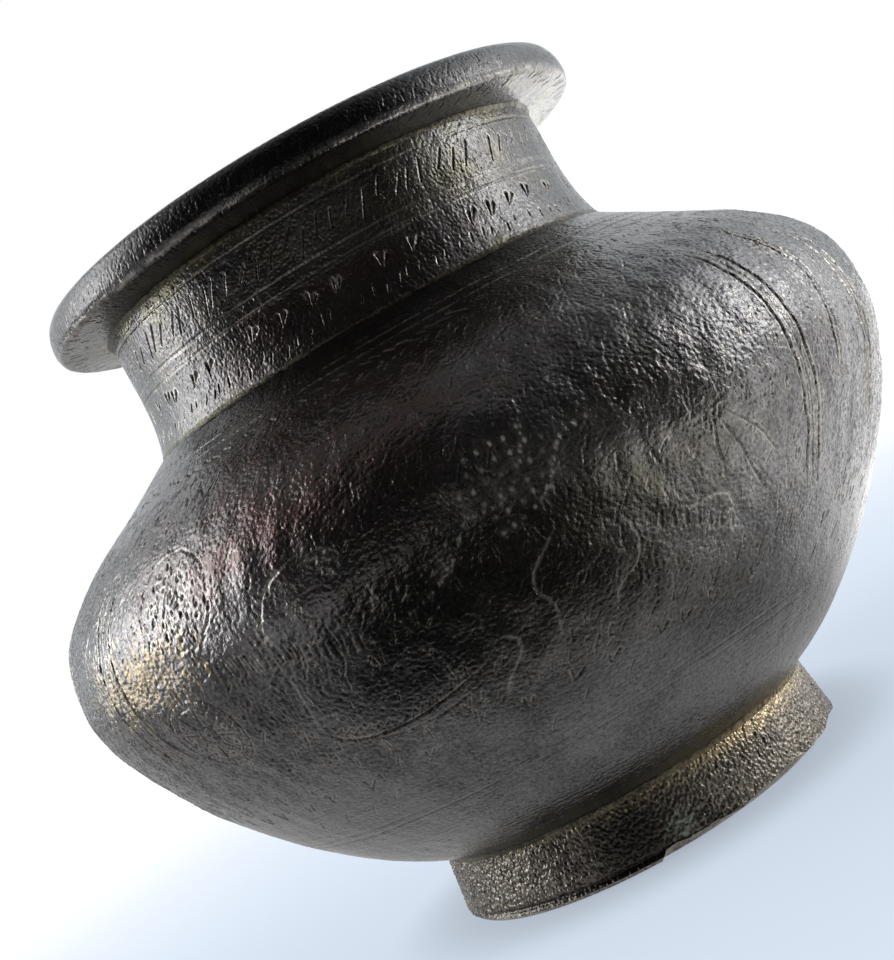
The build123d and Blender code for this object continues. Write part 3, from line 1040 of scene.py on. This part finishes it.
def new_group(name, inputs, outputs):
    """A shader node group with named sockets."""
    tree = bpy.data.node_groups.new(name, "ShaderNodeTree")
    for label, kind, value in inputs:
        socket = tree.interface.new_socket(label, in_out="INPUT", socket_type=kind)
        socket.default_value = value
    for label, kind in outputs:
        tree.interface.new_socket(label, in_out="OUTPUT", socket_type=kind)
    nodes = Nodes(tree)
    return tree, nodes, nodes.add("NodeGroupInput"), nodes.add("NodeGroupOutput")


COLOUR, NUMBER = "NodeSocketColor", "NodeSocketFloat"


def patina_group():
    """Cloudy patina: a dark skin thinning to a lighter one, with fine speckle."""
    tree, n, given, made = new_group(
        "cloudy_patina",
        [("Deep", COLOUR, (0.03, 0.03, 0.03, 1)), ("Thin", COLOUR, (0.1, 0.1, 0.1, 1)),
         ("Cloud Scale", NUMBER, 40.0), ("Speckle", NUMBER, 0.4)],
        [("Colour", COLOUR), ("Cloud", NUMBER)])
    place = n.add("ShaderNodeTexCoord").outputs["Object"]
    cloud = n.noise(place, given.outputs["Cloud Scale"], 5.0, 0.62)
    cloud = n.spread(cloud, 0.36, 0.66)
    fine = n.noise(place, 1900.0, 3.0, 0.6)
    fine = n.spread(fine, 0.34, 0.66)
    share = n.math("MULTIPLY_ADD", fine, given.outputs["Speckle"],
                   third=n.spread(cloud, 0.0, 1.0, 0.26, 0.74))
    share = n.math("SUBTRACT", share, n.math("MULTIPLY", given.outputs["Speckle"], 0.5), True)
    n.link(n.blend(share, given.outputs["Deep"], given.outputs["Thin"]), made.inputs["Colour"])
    n.link(cloud, made.inputs["Cloud"])
    return tree


def ornament_group():
    """Pale dirt packed in the graver's lines, unfilled cuts painted dark as shade, worn lips and
    bare metal.
    """
    tree, n, given, made = new_group(
        "ornament_wear",
        [("Colour", COLOUR, (0.08, 0.08, 0.08, 1)), ("Packed Dirt", COLOUR, (0.17, 0.155, 0.12, 1)),
         ("Painted Cut Shade", COLOUR, (0.01, 0.01, 0.01, 1)), ("Wear And Edge Highlight", COLOUR, (0.4, 0.35, 0.3, 1)),
         ("Brass", COLOUR, (0.6, 0.42, 0.2, 1)), ("Dirt Amount", NUMBER, 0.8),
         ("Wear Amount", NUMBER, 0.6), ("Dust", COLOUR, (0.4, 0.4, 0.36, 1))],
        [("Colour", COLOUR), ("Bare", NUMBER), ("Dirt", NUMBER)])
    place = n.add("ShaderNodeTexCoord").outputs["Object"]
    patchy = n.spread(n.noise(place, 260.0, 3.0), 0.36, 0.60)
    dirty = n.math("MULTIPLY", n.math("MULTIPLY", n.mask("filled"), given.outputs["Dirt Amount"]),
                   n.spread(patchy, 0.0, 1.0, 0.45, 1.0), True)
    # Painted shade: unfilled cuts are darkened towards near black.
    colour = n.blend(n.math("MULTIPLY", n.mask("open"), 0.85), given.outputs["Colour"],
                     given.outputs["Painted Cut Shade"])
    colour = n.blend(dirty, colour, given.outputs["Packed Dirt"])
    # The wear mask also holds the rim's lower edge, painted lighter as a highlight.
    worn = n.math("MULTIPLY", n.math("MULTIPLY", n.mask("worn"), patchy),
                  given.outputs["Wear Amount"], True)
    colour = n.blend(worn, colour, given.outputs["Wear And Edge Highlight"])
    covered = n.math("MAXIMUM", dirty, n.mask("open"))
    bare = n.math("MULTIPLY", n.mask("bare"), n.math("SUBTRACT", 1.0, covered))
    colour = n.blend(bare, colour, given.outputs["Brass"])
    dust = n.math("MULTIPLY", n.mask("dust"), n.spread(patchy, 0.0, 1.0, 0.55, 1.0))
    colour = n.blend(dust, colour, given.outputs["Dust"])
    n.link(colour, made.inputs["Colour"])
    n.link(n.math("MAXIMUM", bare, n.math("MULTIPLY", worn, 0.6)), made.inputs["Bare"])
    n.link(n.math("MAXIMUM", dirty, dust), made.inputs["Dirt"])
    return tree


def stain_group():
    """Olive tarnish, russet, and near black for soot and for painted shade, where the pot's own
    masks put them.
    """
    tree, n, given, made = new_group(
        "tarnish_stains",
        [("Colour", COLOUR, (0.08, 0.08, 0.08, 1)), ("Olive", COLOUR, (0.12, 0.11, 0.06, 1)),
         ("Russet", COLOUR, (0.12, 0.07, 0.06, 1)), ("Soot And Painted Shade", COLOUR, (0.01, 0.01, 0.01, 1)),
         ("Verdigris", COLOUR, (0.2, 0.28, 0.22, 1))],
        [("Colour", COLOUR)])
    place = n.add("ShaderNodeTexCoord").outputs["Object"]
    patchy = n.spread(n.noise(place, 180.0, 4.0, 0.6), 0.3, 0.66, 0.35, 1.0)
    colour = n.blend(n.math("MULTIPLY", n.mask("olive"), patchy), given.outputs["Colour"],
                     given.outputs["Olive"])
    colour = n.blend(n.math("MULTIPLY", n.mask("russet"), patchy), colour, given.outputs["Russet"])
    colour = n.blend(n.mask("dark"), colour, given.outputs["Soot And Painted Shade"])
    colour = n.blend(n.mask("verdigris"), colour, given.outputs["Verdigris"])
    n.link(colour, made.inputs["Colour"])
    return tree


def pitting_group():
    """Fine pits and pimples finer than the mesh, with a mask of the pits' bottoms for painted
    shade.
    """
    tree, n, given, made = new_group(
        "fine_pitting",
        [("Pit Scale", NUMBER, 1500.0), ("Pit Depth", NUMBER, 0.5), ("Grain Scale", NUMBER, 3200.0),
         ("Grain Depth", NUMBER, 0.4)],
        [("Height", NUMBER), ("Pit Shade", NUMBER)])
    place = n.add("ShaderNodeTexCoord").outputs["Object"]
    cells = n.add("ShaderNodeTexVoronoi", {"Vector": place, "Scale": given.outputs["Pit Scale"]},
                  feature="SMOOTH_F1").outputs["Distance"]
    bowls = n.spread(cells, 0.1, 0.5)
    pits = n.math("MULTIPLY", n.spread(cells, 0.26, 0.08),
                  n.spread(n.noise(place, 240.0, 2.0), 0.46, 0.6))
    lumps = n.noise(place, given.outputs["Pit Scale"], 2.0, 0.5)
    grain = n.noise(place, given.outputs["Grain Scale"], 2.0, 0.6)
    height = n.math("MULTIPLY", n.math("ADD", n.math("MULTIPLY", bowls, 0.6), lumps),
                    given.outputs["Pit Depth"])
    height = n.math("ADD", height, n.math("MULTIPLY", grain, given.outputs["Grain Depth"]))
    n.link(height, made.inputs["Height"])
    n.link(pits, made.inputs["Pit Shade"])
    return tree


GROUPS = {}


def group(n, make, values):
    """Places a shared group in a material, making it the first time."""
    if make.__name__ not in GROUPS:
        GROUPS[make.__name__] = make()
    return n.add("ShaderNodeGroup", node_tree=GROUPS[make.__name__], values=values)


def start_finish(name):
    """A material with one empty shader."""
    material = bpy.data.materials.new(name)
    material.use_nodes = True
    material.node_tree.nodes.clear()
    n = Nodes(material.node_tree)
    shader = n.add("ShaderNodeBsdfPrincipled")
    n.link(shader.outputs[0], n.add("ShaderNodeOutputMaterial").inputs[0])
    return material, n, shader


def patinated_bronze():
    """The pot's dark handled skin, with dirt in some cuts, painted shade in the rest, and bare
    metal where it is rubbed.
    """
    material, n, shader = start_finish("patinated_bronze")
    skin = group(n, patina_group, {
        "Deep": (0.036, 0.034, 0.034, 1), "Thin": (0.142, 0.139, 0.141, 1),
        "Cloud Scale": 42.0, "Speckle": 0.55})
    stains = group(n, stain_group, {
        "Colour": skin.outputs["Colour"],
        "Olive": (0.110, 0.100, 0.062, 1), "Russet": (0.100, 0.064, 0.056, 1),
        "Soot And Painted Shade": (0.020, 0.019, 0.019, 1), "Verdigris": (0.24, 0.29, 0.25, 1)})
    wear = group(n, ornament_group, {
        "Colour": stains.outputs["Colour"], "Packed Dirt": (0.100, 0.093, 0.074, 1),
        "Painted Cut Shade": (0.014, 0.013, 0.012, 1), "Wear And Edge Highlight": (0.32, 0.30, 0.27, 1),
        "Brass": (0.25, 0.195, 0.115, 1), "Dust": (0.46, 0.445, 0.40, 1),
        "Dirt Amount": 0.6, "Wear Amount": 0.7})
    pitting = group(n, pitting_group, {
        "Pit Scale": 1500.0, "Pit Depth": 0.6, "Grain Scale": 3600.0, "Grain Depth": 0.35})
    rough = n.spread(skin.outputs["Cloud"], 0.0, 1.0, 0.20, 0.29)
    rough = n.math("ADD", rough, n.math("MULTIPLY", wear.outputs["Dirt"], 0.4), True)
    rough = n.math("ADD", rough, n.math("MULTIPLY", wear.outputs["Bare"], 0.12), True)
    metal = n.spread(wear.outputs["Bare"], 0.0, 1.0, 0.93, 0.97)
    metal = n.math("MULTIPLY", metal, n.spread(wear.outputs["Dirt"], 0.0, 1.0, 1.0, 0.12))
    # Painted shade: the colour goes near black at the bottoms of the fine pits.
    colour = n.blend(n.math("MULTIPLY", pitting.outputs["Pit Shade"], 0.8), wear.outputs["Colour"],
                     (0.014, 0.013, 0.013, 1))
    n.link(colour, shader.inputs["Base Color"])
    n.link(rough, shader.inputs["Roughness"])
    n.link(metal, shader.inputs["Metallic"])
    n.bump(shader, pitting, 1.0, 0.00011)
    return material


def dull_inside():
    """The unpolished inside: brown, dry and a little limed."""
    material, n, shader = start_finish("dull_inside")
    skin = group(n, patina_group, {
        "Deep": (0.040, 0.034, 0.028, 1), "Thin": (0.105, 0.090, 0.070, 1),
        "Cloud Scale": 60.0, "Speckle": 0.6})
    pitting = group(n, pitting_group, {
        "Pit Scale": 700.0, "Pit Depth": 1.0, "Grain Scale": 2200.0, "Grain Depth": 0.6})
    n.link(skin.outputs["Colour"], shader.inputs["Base Color"])
    n.link(n.spread(skin.outputs["Cloud"], 0.0, 1.0, 0.5, 0.7), shader.inputs["Roughness"])
    shader.inputs["Metallic"].default_value = 0.7
    n.bump(shader, pitting, 0.8, 0.00012)
    return material


def sandy_foot():
    """The foot as it left the mould: granular, with glints on its high grains."""
    material, n, shader = start_finish("sandy_foot")
    skin = group(n, patina_group, {
        "Deep": (0.034, 0.029, 0.024, 1), "Thin": (0.185, 0.162, 0.135, 1),
        "Cloud Scale": 90.0, "Speckle": 1.2})
    stains = group(n, stain_group, {
        "Colour": skin.outputs["Colour"],
        "Olive": (0.150, 0.130, 0.075, 1), "Russet": (0.10, 0.06, 0.05, 1),
        "Soot And Painted Shade": (0.018, 0.015, 0.013, 1), "Verdigris": (0.20, 0.235, 0.20, 1)})
    wear = group(n, ornament_group, {
        "Colour": stains.outputs["Colour"], "Packed Dirt": (0.05, 0.042, 0.03, 1),
        "Painted Cut Shade": (0.018, 0.015, 0.013, 1), "Wear And Edge Highlight": (0.30, 0.27, 0.22, 1),
        "Brass": (0.34, 0.27, 0.165, 1), "Dust": (0.45, 0.43, 0.38, 1),
        "Dirt Amount": 0.7, "Wear Amount": 0.5})
    pitting = group(n, pitting_group, {
        "Pit Scale": 1100.0, "Pit Depth": 1.1, "Grain Scale": 2600.0, "Grain Depth": 0.7})
    n.link(wear.outputs["Colour"], shader.inputs["Base Color"])
    n.link(n.spread(skin.outputs["Cloud"], 0.0, 1.0, 0.26, 0.36), shader.inputs["Roughness"])
    n.link(n.spread(wear.outputs["Bare"], 0.0, 1.0, 0.85, 0.96), shader.inputs["Metallic"])
    n.bump(shader, pitting, 0.9, 0.00012)
    return material


def old_braze():
    """Filler metal in the creases, browned but still yellow where it is rubbed."""
    material, n, shader = start_finish("old_braze")
    skin = group(n, patina_group, {
        "Deep": (0.026, 0.023, 0.018, 1), "Thin": (0.105, 0.092, 0.062, 1),
        "Cloud Scale": 160.0, "Speckle": 1.3})
    pitting = group(n, pitting_group, {
        "Pit Scale": 1300.0, "Pit Depth": 0.9, "Grain Scale": 3000.0, "Grain Depth": 0.6})
    place = n.add("ShaderNodeTexCoord").outputs["Object"]
    split = n.add("ShaderNodeSeparateXYZ", {0: place})
    rubbed = n.math("MULTIPLY", n.spread(split.outputs["X"], 0.0, 0.026),
                    n.spread(split.outputs["Z"], 0.03, 0.02))
    patchy = n.spread(n.noise(place, 1300.0, 4.0, 0.65), 0.38, 0.6, 0.0, 0.8)
    colour = n.blend(n.math("MULTIPLY", rubbed, patchy), skin.outputs["Colour"],
                     (0.34, 0.26, 0.14, 1))
    n.link(colour, shader.inputs["Base Color"])
    n.link(n.spread(skin.outputs["Cloud"], 0.0, 1.0, 0.5, 0.38), shader.inputs["Roughness"])
    shader.inputs["Metallic"].default_value = 0.85
    n.bump(shader, pitting, 0.8, 0.0001)
    return material


# ================================================================ the pieces
BOWL_RUN = lengths(BOWL)[-1]
SHOULDER_RUN = BOWL_RUN + lengths(SHOULDER)[-1]
NECK_RUN = SHOULDER_RUN + lengths(NECK)[-1]
INNER_SHOULDER = shoulder_line(BODY_WALL, INNER_CORNER)
FOOT_SEAT = between(base_line(0), FOOT_TOP_RADIUS - FOOT_WALL + 0.17, FOOT_TOP_RADIUS, 0)


def make_foot(finish):
    """The foot ring, seated on the underside of the bowl."""
    lean = (FOOT_BASE_RADIUS - FOOT_TOP_RADIUS) / FOOT_HEIGHT
    low = (FOOT_BASE_RADIUS - lean * FOOT_BEVEL, FOOT_BEVEL)
    inner_low = (FOOT_BASE_RADIUS - FOOT_WALL - lean * FOOT_BEVEL, FOOT_BEVEL)
    section = Section()
    section.wall(straight((FOOT_BASE_RADIUS - FOOT_BEVEL, 0), low), 0.25)
    section.skin(straight(low, (FOOT_TOP_RADIUS, FOOT_HEIGHT)), ROW_FOOT,
                 RUN_LOW + FOOT_BEVEL)
    section.wall(FOOT_SEAT[::-1], 1.0)
    section.wall(straight(FOOT_SEAT[0], inner_low), 0.8)
    section.wall(straight(inner_low, (FOOT_BASE_RADIUS - FOOT_WALL + FOOT_BEVEL, 0)), 0.4)
    section.wall(straight((FOOT_BASE_RADIUS - FOOT_WALL + FOOT_BEVEL, 0),
                          (FOOT_BASE_RADIUS - FOOT_BEVEL, 0)), 0.3)
    section.close()

    def beaten(r, z, angle):
        """Breaks away the outer lower edge."""
        near_edge = np.clip((r - (FOOT_BASE_RADIUS - 2.2)) / 1.6, 0, 1)
        lowest = foot_wear(angle)[None, :] * near_edge
        return r, np.where(z < lowest, lowest, z)

    return turned("foot_casting", [section], finish, shape=beaten)


def make_bowl(finish, inner_finish):
    """The lower bowl, from the middle of the base to the belly joint."""
    outer = between(BOWL, FOOT_HEIGHT, BELLY_Z - BELLY_VEE)
    inside = joined(base_line(BODY_WALL), bowl_line(BODY_WALL))
    lap = between(INNER_SHOULDER, BELLY_Z, BELLY_LAP_Z)
    section = Section()
    section.wall(base_line(0), 1.1, inner=True)
    section.skin(outer, ROW_ENGRAVED, 0.0)
    section.wall(straight(outer[-1], (BELLY_RADIUS - BELLY_VEE, BELLY_Z)), 0.6)
    section.wall(straight((BELLY_RADIUS - BELLY_VEE, BELLY_Z), (BELLY_LAP_RADIUS, BELLY_Z)), 0.6)
    section.wall(straight((BELLY_LAP_RADIUS, BELLY_Z), (BELLY_LAP_RADIUS, BELLY_LAP_Z)), 2.0)
    section.wall(straight((BELLY_LAP_RADIUS, BELLY_LAP_Z), lap[-1]), 0.8)
    section.wall(joined(lap[::-1], inside[::-1]), ROW_INSIDE, inner=True)
    return turned("lower_bowl_casting", [section], finish, inner_finish)


def make_shell(finish, inner_finish):
    """The upper shell, from the belly joint to the neck's seat."""
    outer = between(SHOULDER, BELLY_Z + BELLY_VEE, NECK_Z)
    inner = joined(between(INNER_SHOULDER, BELLY_LAP_Z, INNER_SHOULDER[-1, 1])[:-1],
                   INNER_SHOULDER[-1:])
    inner = inner[inner[:, 0] >= NECK_LAP_RADIUS]
    start = BOWL_RUN + lengths(between(SHOULDER, BELLY_Z, BELLY_Z + BELLY_VEE))[-1]
    tip = (BELLY_RADIUS - BELLY_VEE, BELLY_Z)
    section = Section()
    section.wall(straight(tip, outer[0]), 0.6)
    section.skin(outer, ROW_ENGRAVED, start)
    section.wall(straight(outer[-1], (NECK_LAP_RADIUS, NECK_Z)), 0.8)
    section.wall(straight((NECK_LAP_RADIUS, NECK_Z), inner[-1]), 0.8)
    section.wall(inner[::-1], ROW_INSIDE, inner=True)
    section.wall(straight(inner[0], (BELLY_LAP_RADIUS, BELLY_LAP_Z)), 0.8)
    section.wall(straight((BELLY_LAP_RADIUS, BELLY_LAP_Z), (BELLY_LAP_RADIUS, BELLY_Z)), 2.0)
    section.wall(straight((BELLY_LAP_RADIUS, BELLY_Z), tip), 0.6)
    return turned("upper_shell_casting", [section.close()], finish, inner_finish)


def make_neck(finish, inner_finish):
    """The neck collar, with its tongue inside the rim."""
    corner_z = np.interp(-NECK_LAP_RADIUS, -INNER_SHOULDER[:, 0], INNER_SHOULDER[:, 1])
    mouth_tail = between(MOUTH, RIM_Z, RIM_LAP_Z)
    bore_start = RIM_TOP_RUN + lengths(RIM_FLAT)[-1] + lengths(between(MOUTH, RIM_LAP_Z, TOP_Z))[-1]
    section = Section()
    section.skin(NECK, ROW_ENGRAVED, SHOULDER_RUN)
    section.wall(straight((NECK_TOP_RADIUS, RIM_Z), (RIM_LAP_RADIUS, RIM_Z)), 0.8)
    section.wall(straight((RIM_LAP_RADIUS, RIM_Z), (RIM_LAP_RADIUS, RIM_LAP_Z)), 1.2)
    section.wall(straight((RIM_LAP_RADIUS, RIM_LAP_Z), mouth_tail[0]), 0.6)
    section.skin(joined(mouth_tail, BORE), ROW_MOUTH, bore_start)
    section.wall(straight(INNER_CORNER, (NECK_LAP_RADIUS, corner_z)), 0.8)
    section.wall(straight((NECK_LAP_RADIUS, corner_z), (NECK_LAP_RADIUS, NECK_Z)), 0.8)
    section.wall(straight((NECK_LAP_RADIUS, NECK_Z), (NECK_BASE_RADIUS, NECK_Z)), 0.8)
    return turned("neck_collar_casting", [section.close()], finish, inner_finish)


def make_rim(finish):
    """The turned-out rim and the mouth inside it."""
    mouth_top = between(MOUTH, RIM_LAP_Z, TOP_Z)
    section = Section()
    section.skin(RIM, ROW_ENGRAVED, NECK_RUN)
    section.skin(joined(RIM_FLAT, mouth_top), ROW_MOUTH, RIM_TOP_RUN)
    section.sharp[len(spaced(RIM, ROW_ENGRAVED)) - 1] = False
    section.wall(straight(mouth_top[-1], (RIM_LAP_RADIUS, RIM_LAP_Z)), 0.6)
    section.wall(straight((RIM_LAP_RADIUS, RIM_LAP_Z), (RIM_LAP_RADIUS, RIM_Z)), 1.2)
    section.wall(straight((RIM_LAP_RADIUS, RIM_Z), (NECK_TOP_RADIUS, RIM_Z)), 0.8)
    return turned("rim_casting", [section.close()], finish)


def bead(corner, first_degrees, second_degrees, leg, sink=0.25, swell=0.12):
    """A section of filler in a crease, sunk a little into the metal behind it."""
    first = np.array(along(corner, first_degrees, leg))
    second = np.array(along(corner, second_degrees, leg))
    middle = (first + second) / 2
    back = np.array(corner) - (middle - corner) * sink / leg
    towards = (middle - np.array(corner)) / np.hypot(*(middle - np.array(corner)))
    t = np.linspace(0, 1, 9)[:, None]
    face = first * (1 - t) + second * t - towards * leg * swell * np.sin(math.pi * t)
    section = Section()
    section.wall(face, leg / 6)
    section.wall(np.array([second, back]), leg)
    section.wall(np.array([back, first]), leg)
    return section.close()


def lumpy(size, seed):
    """A shape change that makes a bead uneven, as filler run in by hand is."""
    rng = np.random.default_rng(SEED + seed)
    phases = rng.uniform(0, 2 * math.pi, 9)
    waves = rng.integers(7, 90, 9)

    def change(r, z, angle):
        """Swells and thins the section about its middle."""
        turn = np.radians(angle)
        swing = sum(np.sin(w * turn + p) for w, p in zip(waves, phases)) / 3
        middle_r, middle_z = r.mean(0), z.mean(0)
        grow = 1 + size * swing
        return middle_r + (r - middle_r) * grow, middle_z + (z - middle_z) * grow

    return change


def make_foot_braze(finish):
    """Filler outside and inside the joint of the foot and the bowl."""
    lean = math.degrees(math.atan2(FOOT_BASE_RADIUS - FOOT_TOP_RADIUS, FOOT_HEIGHT))
    outer = bead((FOOT_TOP_RADIUS, FOOT_HEIGHT), lean - 90, BOWL_RISE, 0.8)
    inner = bead(tuple(FOOT_SEAT[0]), 180 + BOWL_RISE - 3, lean - 90, 1.5)
    return turned("foot_braze_beads", [outer, inner], finish, shape=lumpy(0.10, 31))


def make_neck_braze(finish):
    """Filler round the base of the neck."""
    section = bead((NECK_BASE_RADIUS, NECK_Z), -SHOULDER_SLOPE, 90 + NECK_LEAN, 0.65)
    return turned("neck_braze_bead", [section], finish, shape=lumpy(0.10, 32))


def make_rim_braze(finish):
    """Filler in the corner under the rim."""
    section = bead((NECK_TOP_RADIUS, RIM_Z), -90, 10, 0.6)
    return turned("rim_braze_bead", [section], finish, shape=lumpy(0.10, 33))


def make_belly_braze(finish):
    """The filled groove round the belly, dressed flush and patinated over."""
    low = between(BOWL, BELLY_Z - BELLY_VEE, BELLY_Z)
    high = between(SHOULDER, BELLY_Z, BELLY_Z + BELLY_VEE)
    outer = joined(low, high)
    tip = (BELLY_RADIUS - BELLY_VEE, BELLY_Z)
    section = Section()
    section.skin(outer, ROW_ENGRAVED, BOWL_RUN - lengths(low)[-1])
    section.wall(straight(outer[-1], tip), 0.6)
    section.wall(straight(tip, outer[0]), 0.6)
    return turned("belly_braze_band", [section.close()], finish)


def make_pot():
    """All the castings and the filler between them."""
    bronze, inside, foot, braze = patinated_bronze(), dull_inside(), sandy_foot(), old_braze()
    stand_for(make_foot(foot), "foot_ring")
    stand_for(make_bowl(bronze, inside), "lower_bowl")
    stand_for(make_shell(bronze, inside), "upper_shell")
    stand_for(make_neck(bronze, inside), "neck_collar")
    stand_for(make_rim(bronze), "rim_ring")
    stand_for(make_foot_braze(braze), "foot_braze")
    stand_for(make_belly_braze(bronze), "belly_braze")
    stand_for(make_neck_braze(braze), "neck_braze")
    stand_for(make_rim_braze(braze), "rim_braze")


# ================================================================ the studio
def make_floor():
    """A pale floor to the eye, with painted shade: a touch bluer near the pot and dimmer round the
    foot; in the metal, cards on a dark ground.
    """
    size = 60.0
    mesh = bpy.data.meshes.new("floor")
    mesh.from_pydata([(-size, -size, 0), (size, -size, 0), (size, size, 0), (-size, size, 0)], [],
                     [(0, 1, 2, 3)])
    floor = bpy.data.objects.new("floor", mesh)
    bpy.context.scene.collection.objects.link(floor)
    floor.location.z = -0.00005       # a hair under the foot, so that they share no plane
    material = bpy.data.materials.new("pale_floor")
    material.use_nodes = True
    material.node_tree.nodes.clear()
    n = Nodes(material.node_tree)
    place = n.add("ShaderNodeTexCoord").outputs["Object"]
    far = n.add("ShaderNodeVectorMath", {0: place}, operation="LENGTH").outputs["Value"]
    # Painted shade: to the camera the floor is bluer near the pot and dimmer close round the foot.
    fade = n.spread(far, 0.05, 0.55)
    seen_with_painted_shade = n.blend(fade, (0.55, 0.62, 0.72, 1), (1.0, 1.0, 1.0, 1))
    painted_foot_shadow = n.spread(far, 0.034, 0.052, 0.70, 1.0)
    glow = n.add("ShaderNodeEmission", {"Color": seen_with_painted_shade, "Strength": painted_foot_shadow})
    matt = n.add("ShaderNodeBsdfDiffuse", {"Color": (0.14, 0.15, 0.17, 1)})
    looked_at = n.add("ShaderNodeAddShader")
    n.link(glow.outputs[0], looked_at.inputs[0])
    n.link(matt.outputs[0], looked_at.inputs[1])
    split = n.add("ShaderNodeSeparateXYZ", {0: place})
    back = n.spread(split.outputs["Y"], -0.096, -0.050, 0.03, 0.72)
    left = n.spread(split.outputs["X"], -0.075, -0.15, 0.0, 0.75)
    right = n.math("MULTIPLY", n.spread(split.outputs["X"], 0.03, 0.10, 0.0, 2.3),
                   n.spread(split.outputs["Y"], -0.172, -0.102, 0.10, 1.0))
    card = n.add("ShaderNodeEmission",
                 {"Strength": n.math("MAXIMUM", n.math("MAXIMUM", back, left), right)})
    path = n.add("ShaderNodeLightPath").outputs["Is Camera Ray"]
    both = n.add("ShaderNodeMixShader", {0: path})
    n.link(card.outputs[0], both.inputs[1])
    n.link(looked_at.outputs[0], both.inputs[2])
    n.link(both.outputs[0], n.add("ShaderNodeOutputMaterial").inputs[0])
    mesh.materials.append(material)


def make_world():
    """A white room to the eye; in the metal, dark in front, pale behind and dim overhead."""
    world = bpy.data.worlds.new("studio")
    bpy.context.scene.world = world
    world.use_nodes = True
    world.node_tree.nodes.clear()
    n = Nodes(world.node_tree)
    way = n.add("ShaderNodeTexCoord").outputs["Generated"]
    split = n.add("ShaderNodeSeparateXYZ", {0: way})
    sides = n.spread(split.outputs["Y"], -0.58, -0.02, 0.04, 1.1)
    dim = n.spread(split.outputs["Z"], 0.60, 0.96, 1.0, 0.25)
    level = n.math("MULTIPLY", sides, dim)
    room = n.add("ShaderNodeBackground", {"Color": (0.93, 0.97, 1.0, 1), "Strength": level})
    white = n.add("ShaderNodeBackground", {"Color": (1, 1, 1, 1), "Strength": 1.0})
    path = n.add("ShaderNodeLightPath").outputs["Is Camera Ray"]
    both = n.add("ShaderNodeMixShader", {0: path})
    n.link(room.outputs[0], both.inputs[1])
    n.link(white.outputs[0], both.inputs[2])
    n.link(both.outputs[0], n.add("ShaderNodeOutputWorld").inputs[0])


def softbox(name, azimuth, elevation, distance, wide, tall, brightness, colour=(1, 1, 1)):
    """A rectangular softbox aimed at the belly."""
    lamp = bpy.data.lights.new(name, "AREA")
    lamp.shape, lamp.size, lamp.size_y = "RECTANGLE", wide, tall
    lamp.energy = brightness * math.pi * wide * tall
    lamp.color = colour
    box = bpy.data.objects.new(name, lamp)
    a, e = math.radians(azimuth), math.radians(elevation)
    way = Vector((math.sin(a) * math.cos(e), -math.cos(a) * math.cos(e), math.sin(e)))
    box.location = Vector((0, 0, BELLY_Z * MM)) + way * distance
    box.rotation_euler = way.to_track_quat("Z", "Y").to_euler()
    box.visible_camera = False
    bpy.context.scene.collection.objects.link(box)


def make_lights():
    """A broad box at each side, with a small bright window in front of it."""
    softbox("left_box", -99, 26, 0.80, 0.60, 0.78, 3.9, (0.97, 0.99, 1.0))
    softbox("right_box", 95, 12, 0.80, 0.80, 0.84, 1.9, (0.98, 0.99, 1.0))
    softbox("left_window", -93, 23, 0.70, 0.19, 0.26, 8.8, (0.97, 0.99, 1.0))
    softbox("right_window", 85, 13, 0.70, 0.19, 0.26, 9.2, (0.98, 0.99, 1.0))


def make_camera():
    """Level with the pot and turned about its own line of sight, so the pot leans in the frame."""
    data = bpy.data.cameras.new("camera")
    data.sensor_width = 36.0
    data.sensor_fit = "AUTO"
    data.lens = 58.45
    data.clip_start, data.clip_end = 0.01, 200
    camera = bpy.data.objects.new("camera", data)
    yaw, pitch, roll = math.radians(0.49), math.radians(0.28), math.radians(-29.88)
    right = Vector((math.cos(yaw), math.sin(yaw), 0))
    ahead = Vector((-math.sin(yaw), math.cos(yaw), 0))
    up = Vector((0, 0, 1))
    ahead, up = (math.cos(pitch) * ahead + math.sin(pitch) * up,
                 math.cos(pitch) * up - math.sin(pitch) * ahead)
    right, up = (math.cos(roll) * right + math.sin(roll) * up,
                 math.cos(roll) * up - math.sin(roll) * right)
    turn = Matrix((right, up, -ahead)).transposed().to_4x4()
    camera.matrix_world = Matrix.Translation((0, -0.2638, 0.0634)) @ turn
    bpy.context.scene.collection.objects.link(camera)
    bpy.context.scene.camera = camera


make_camera()
make_floor()
make_world()
make_lights()
make_pot()
bpy.context.scene.view_settings.view_transform = "Standard"
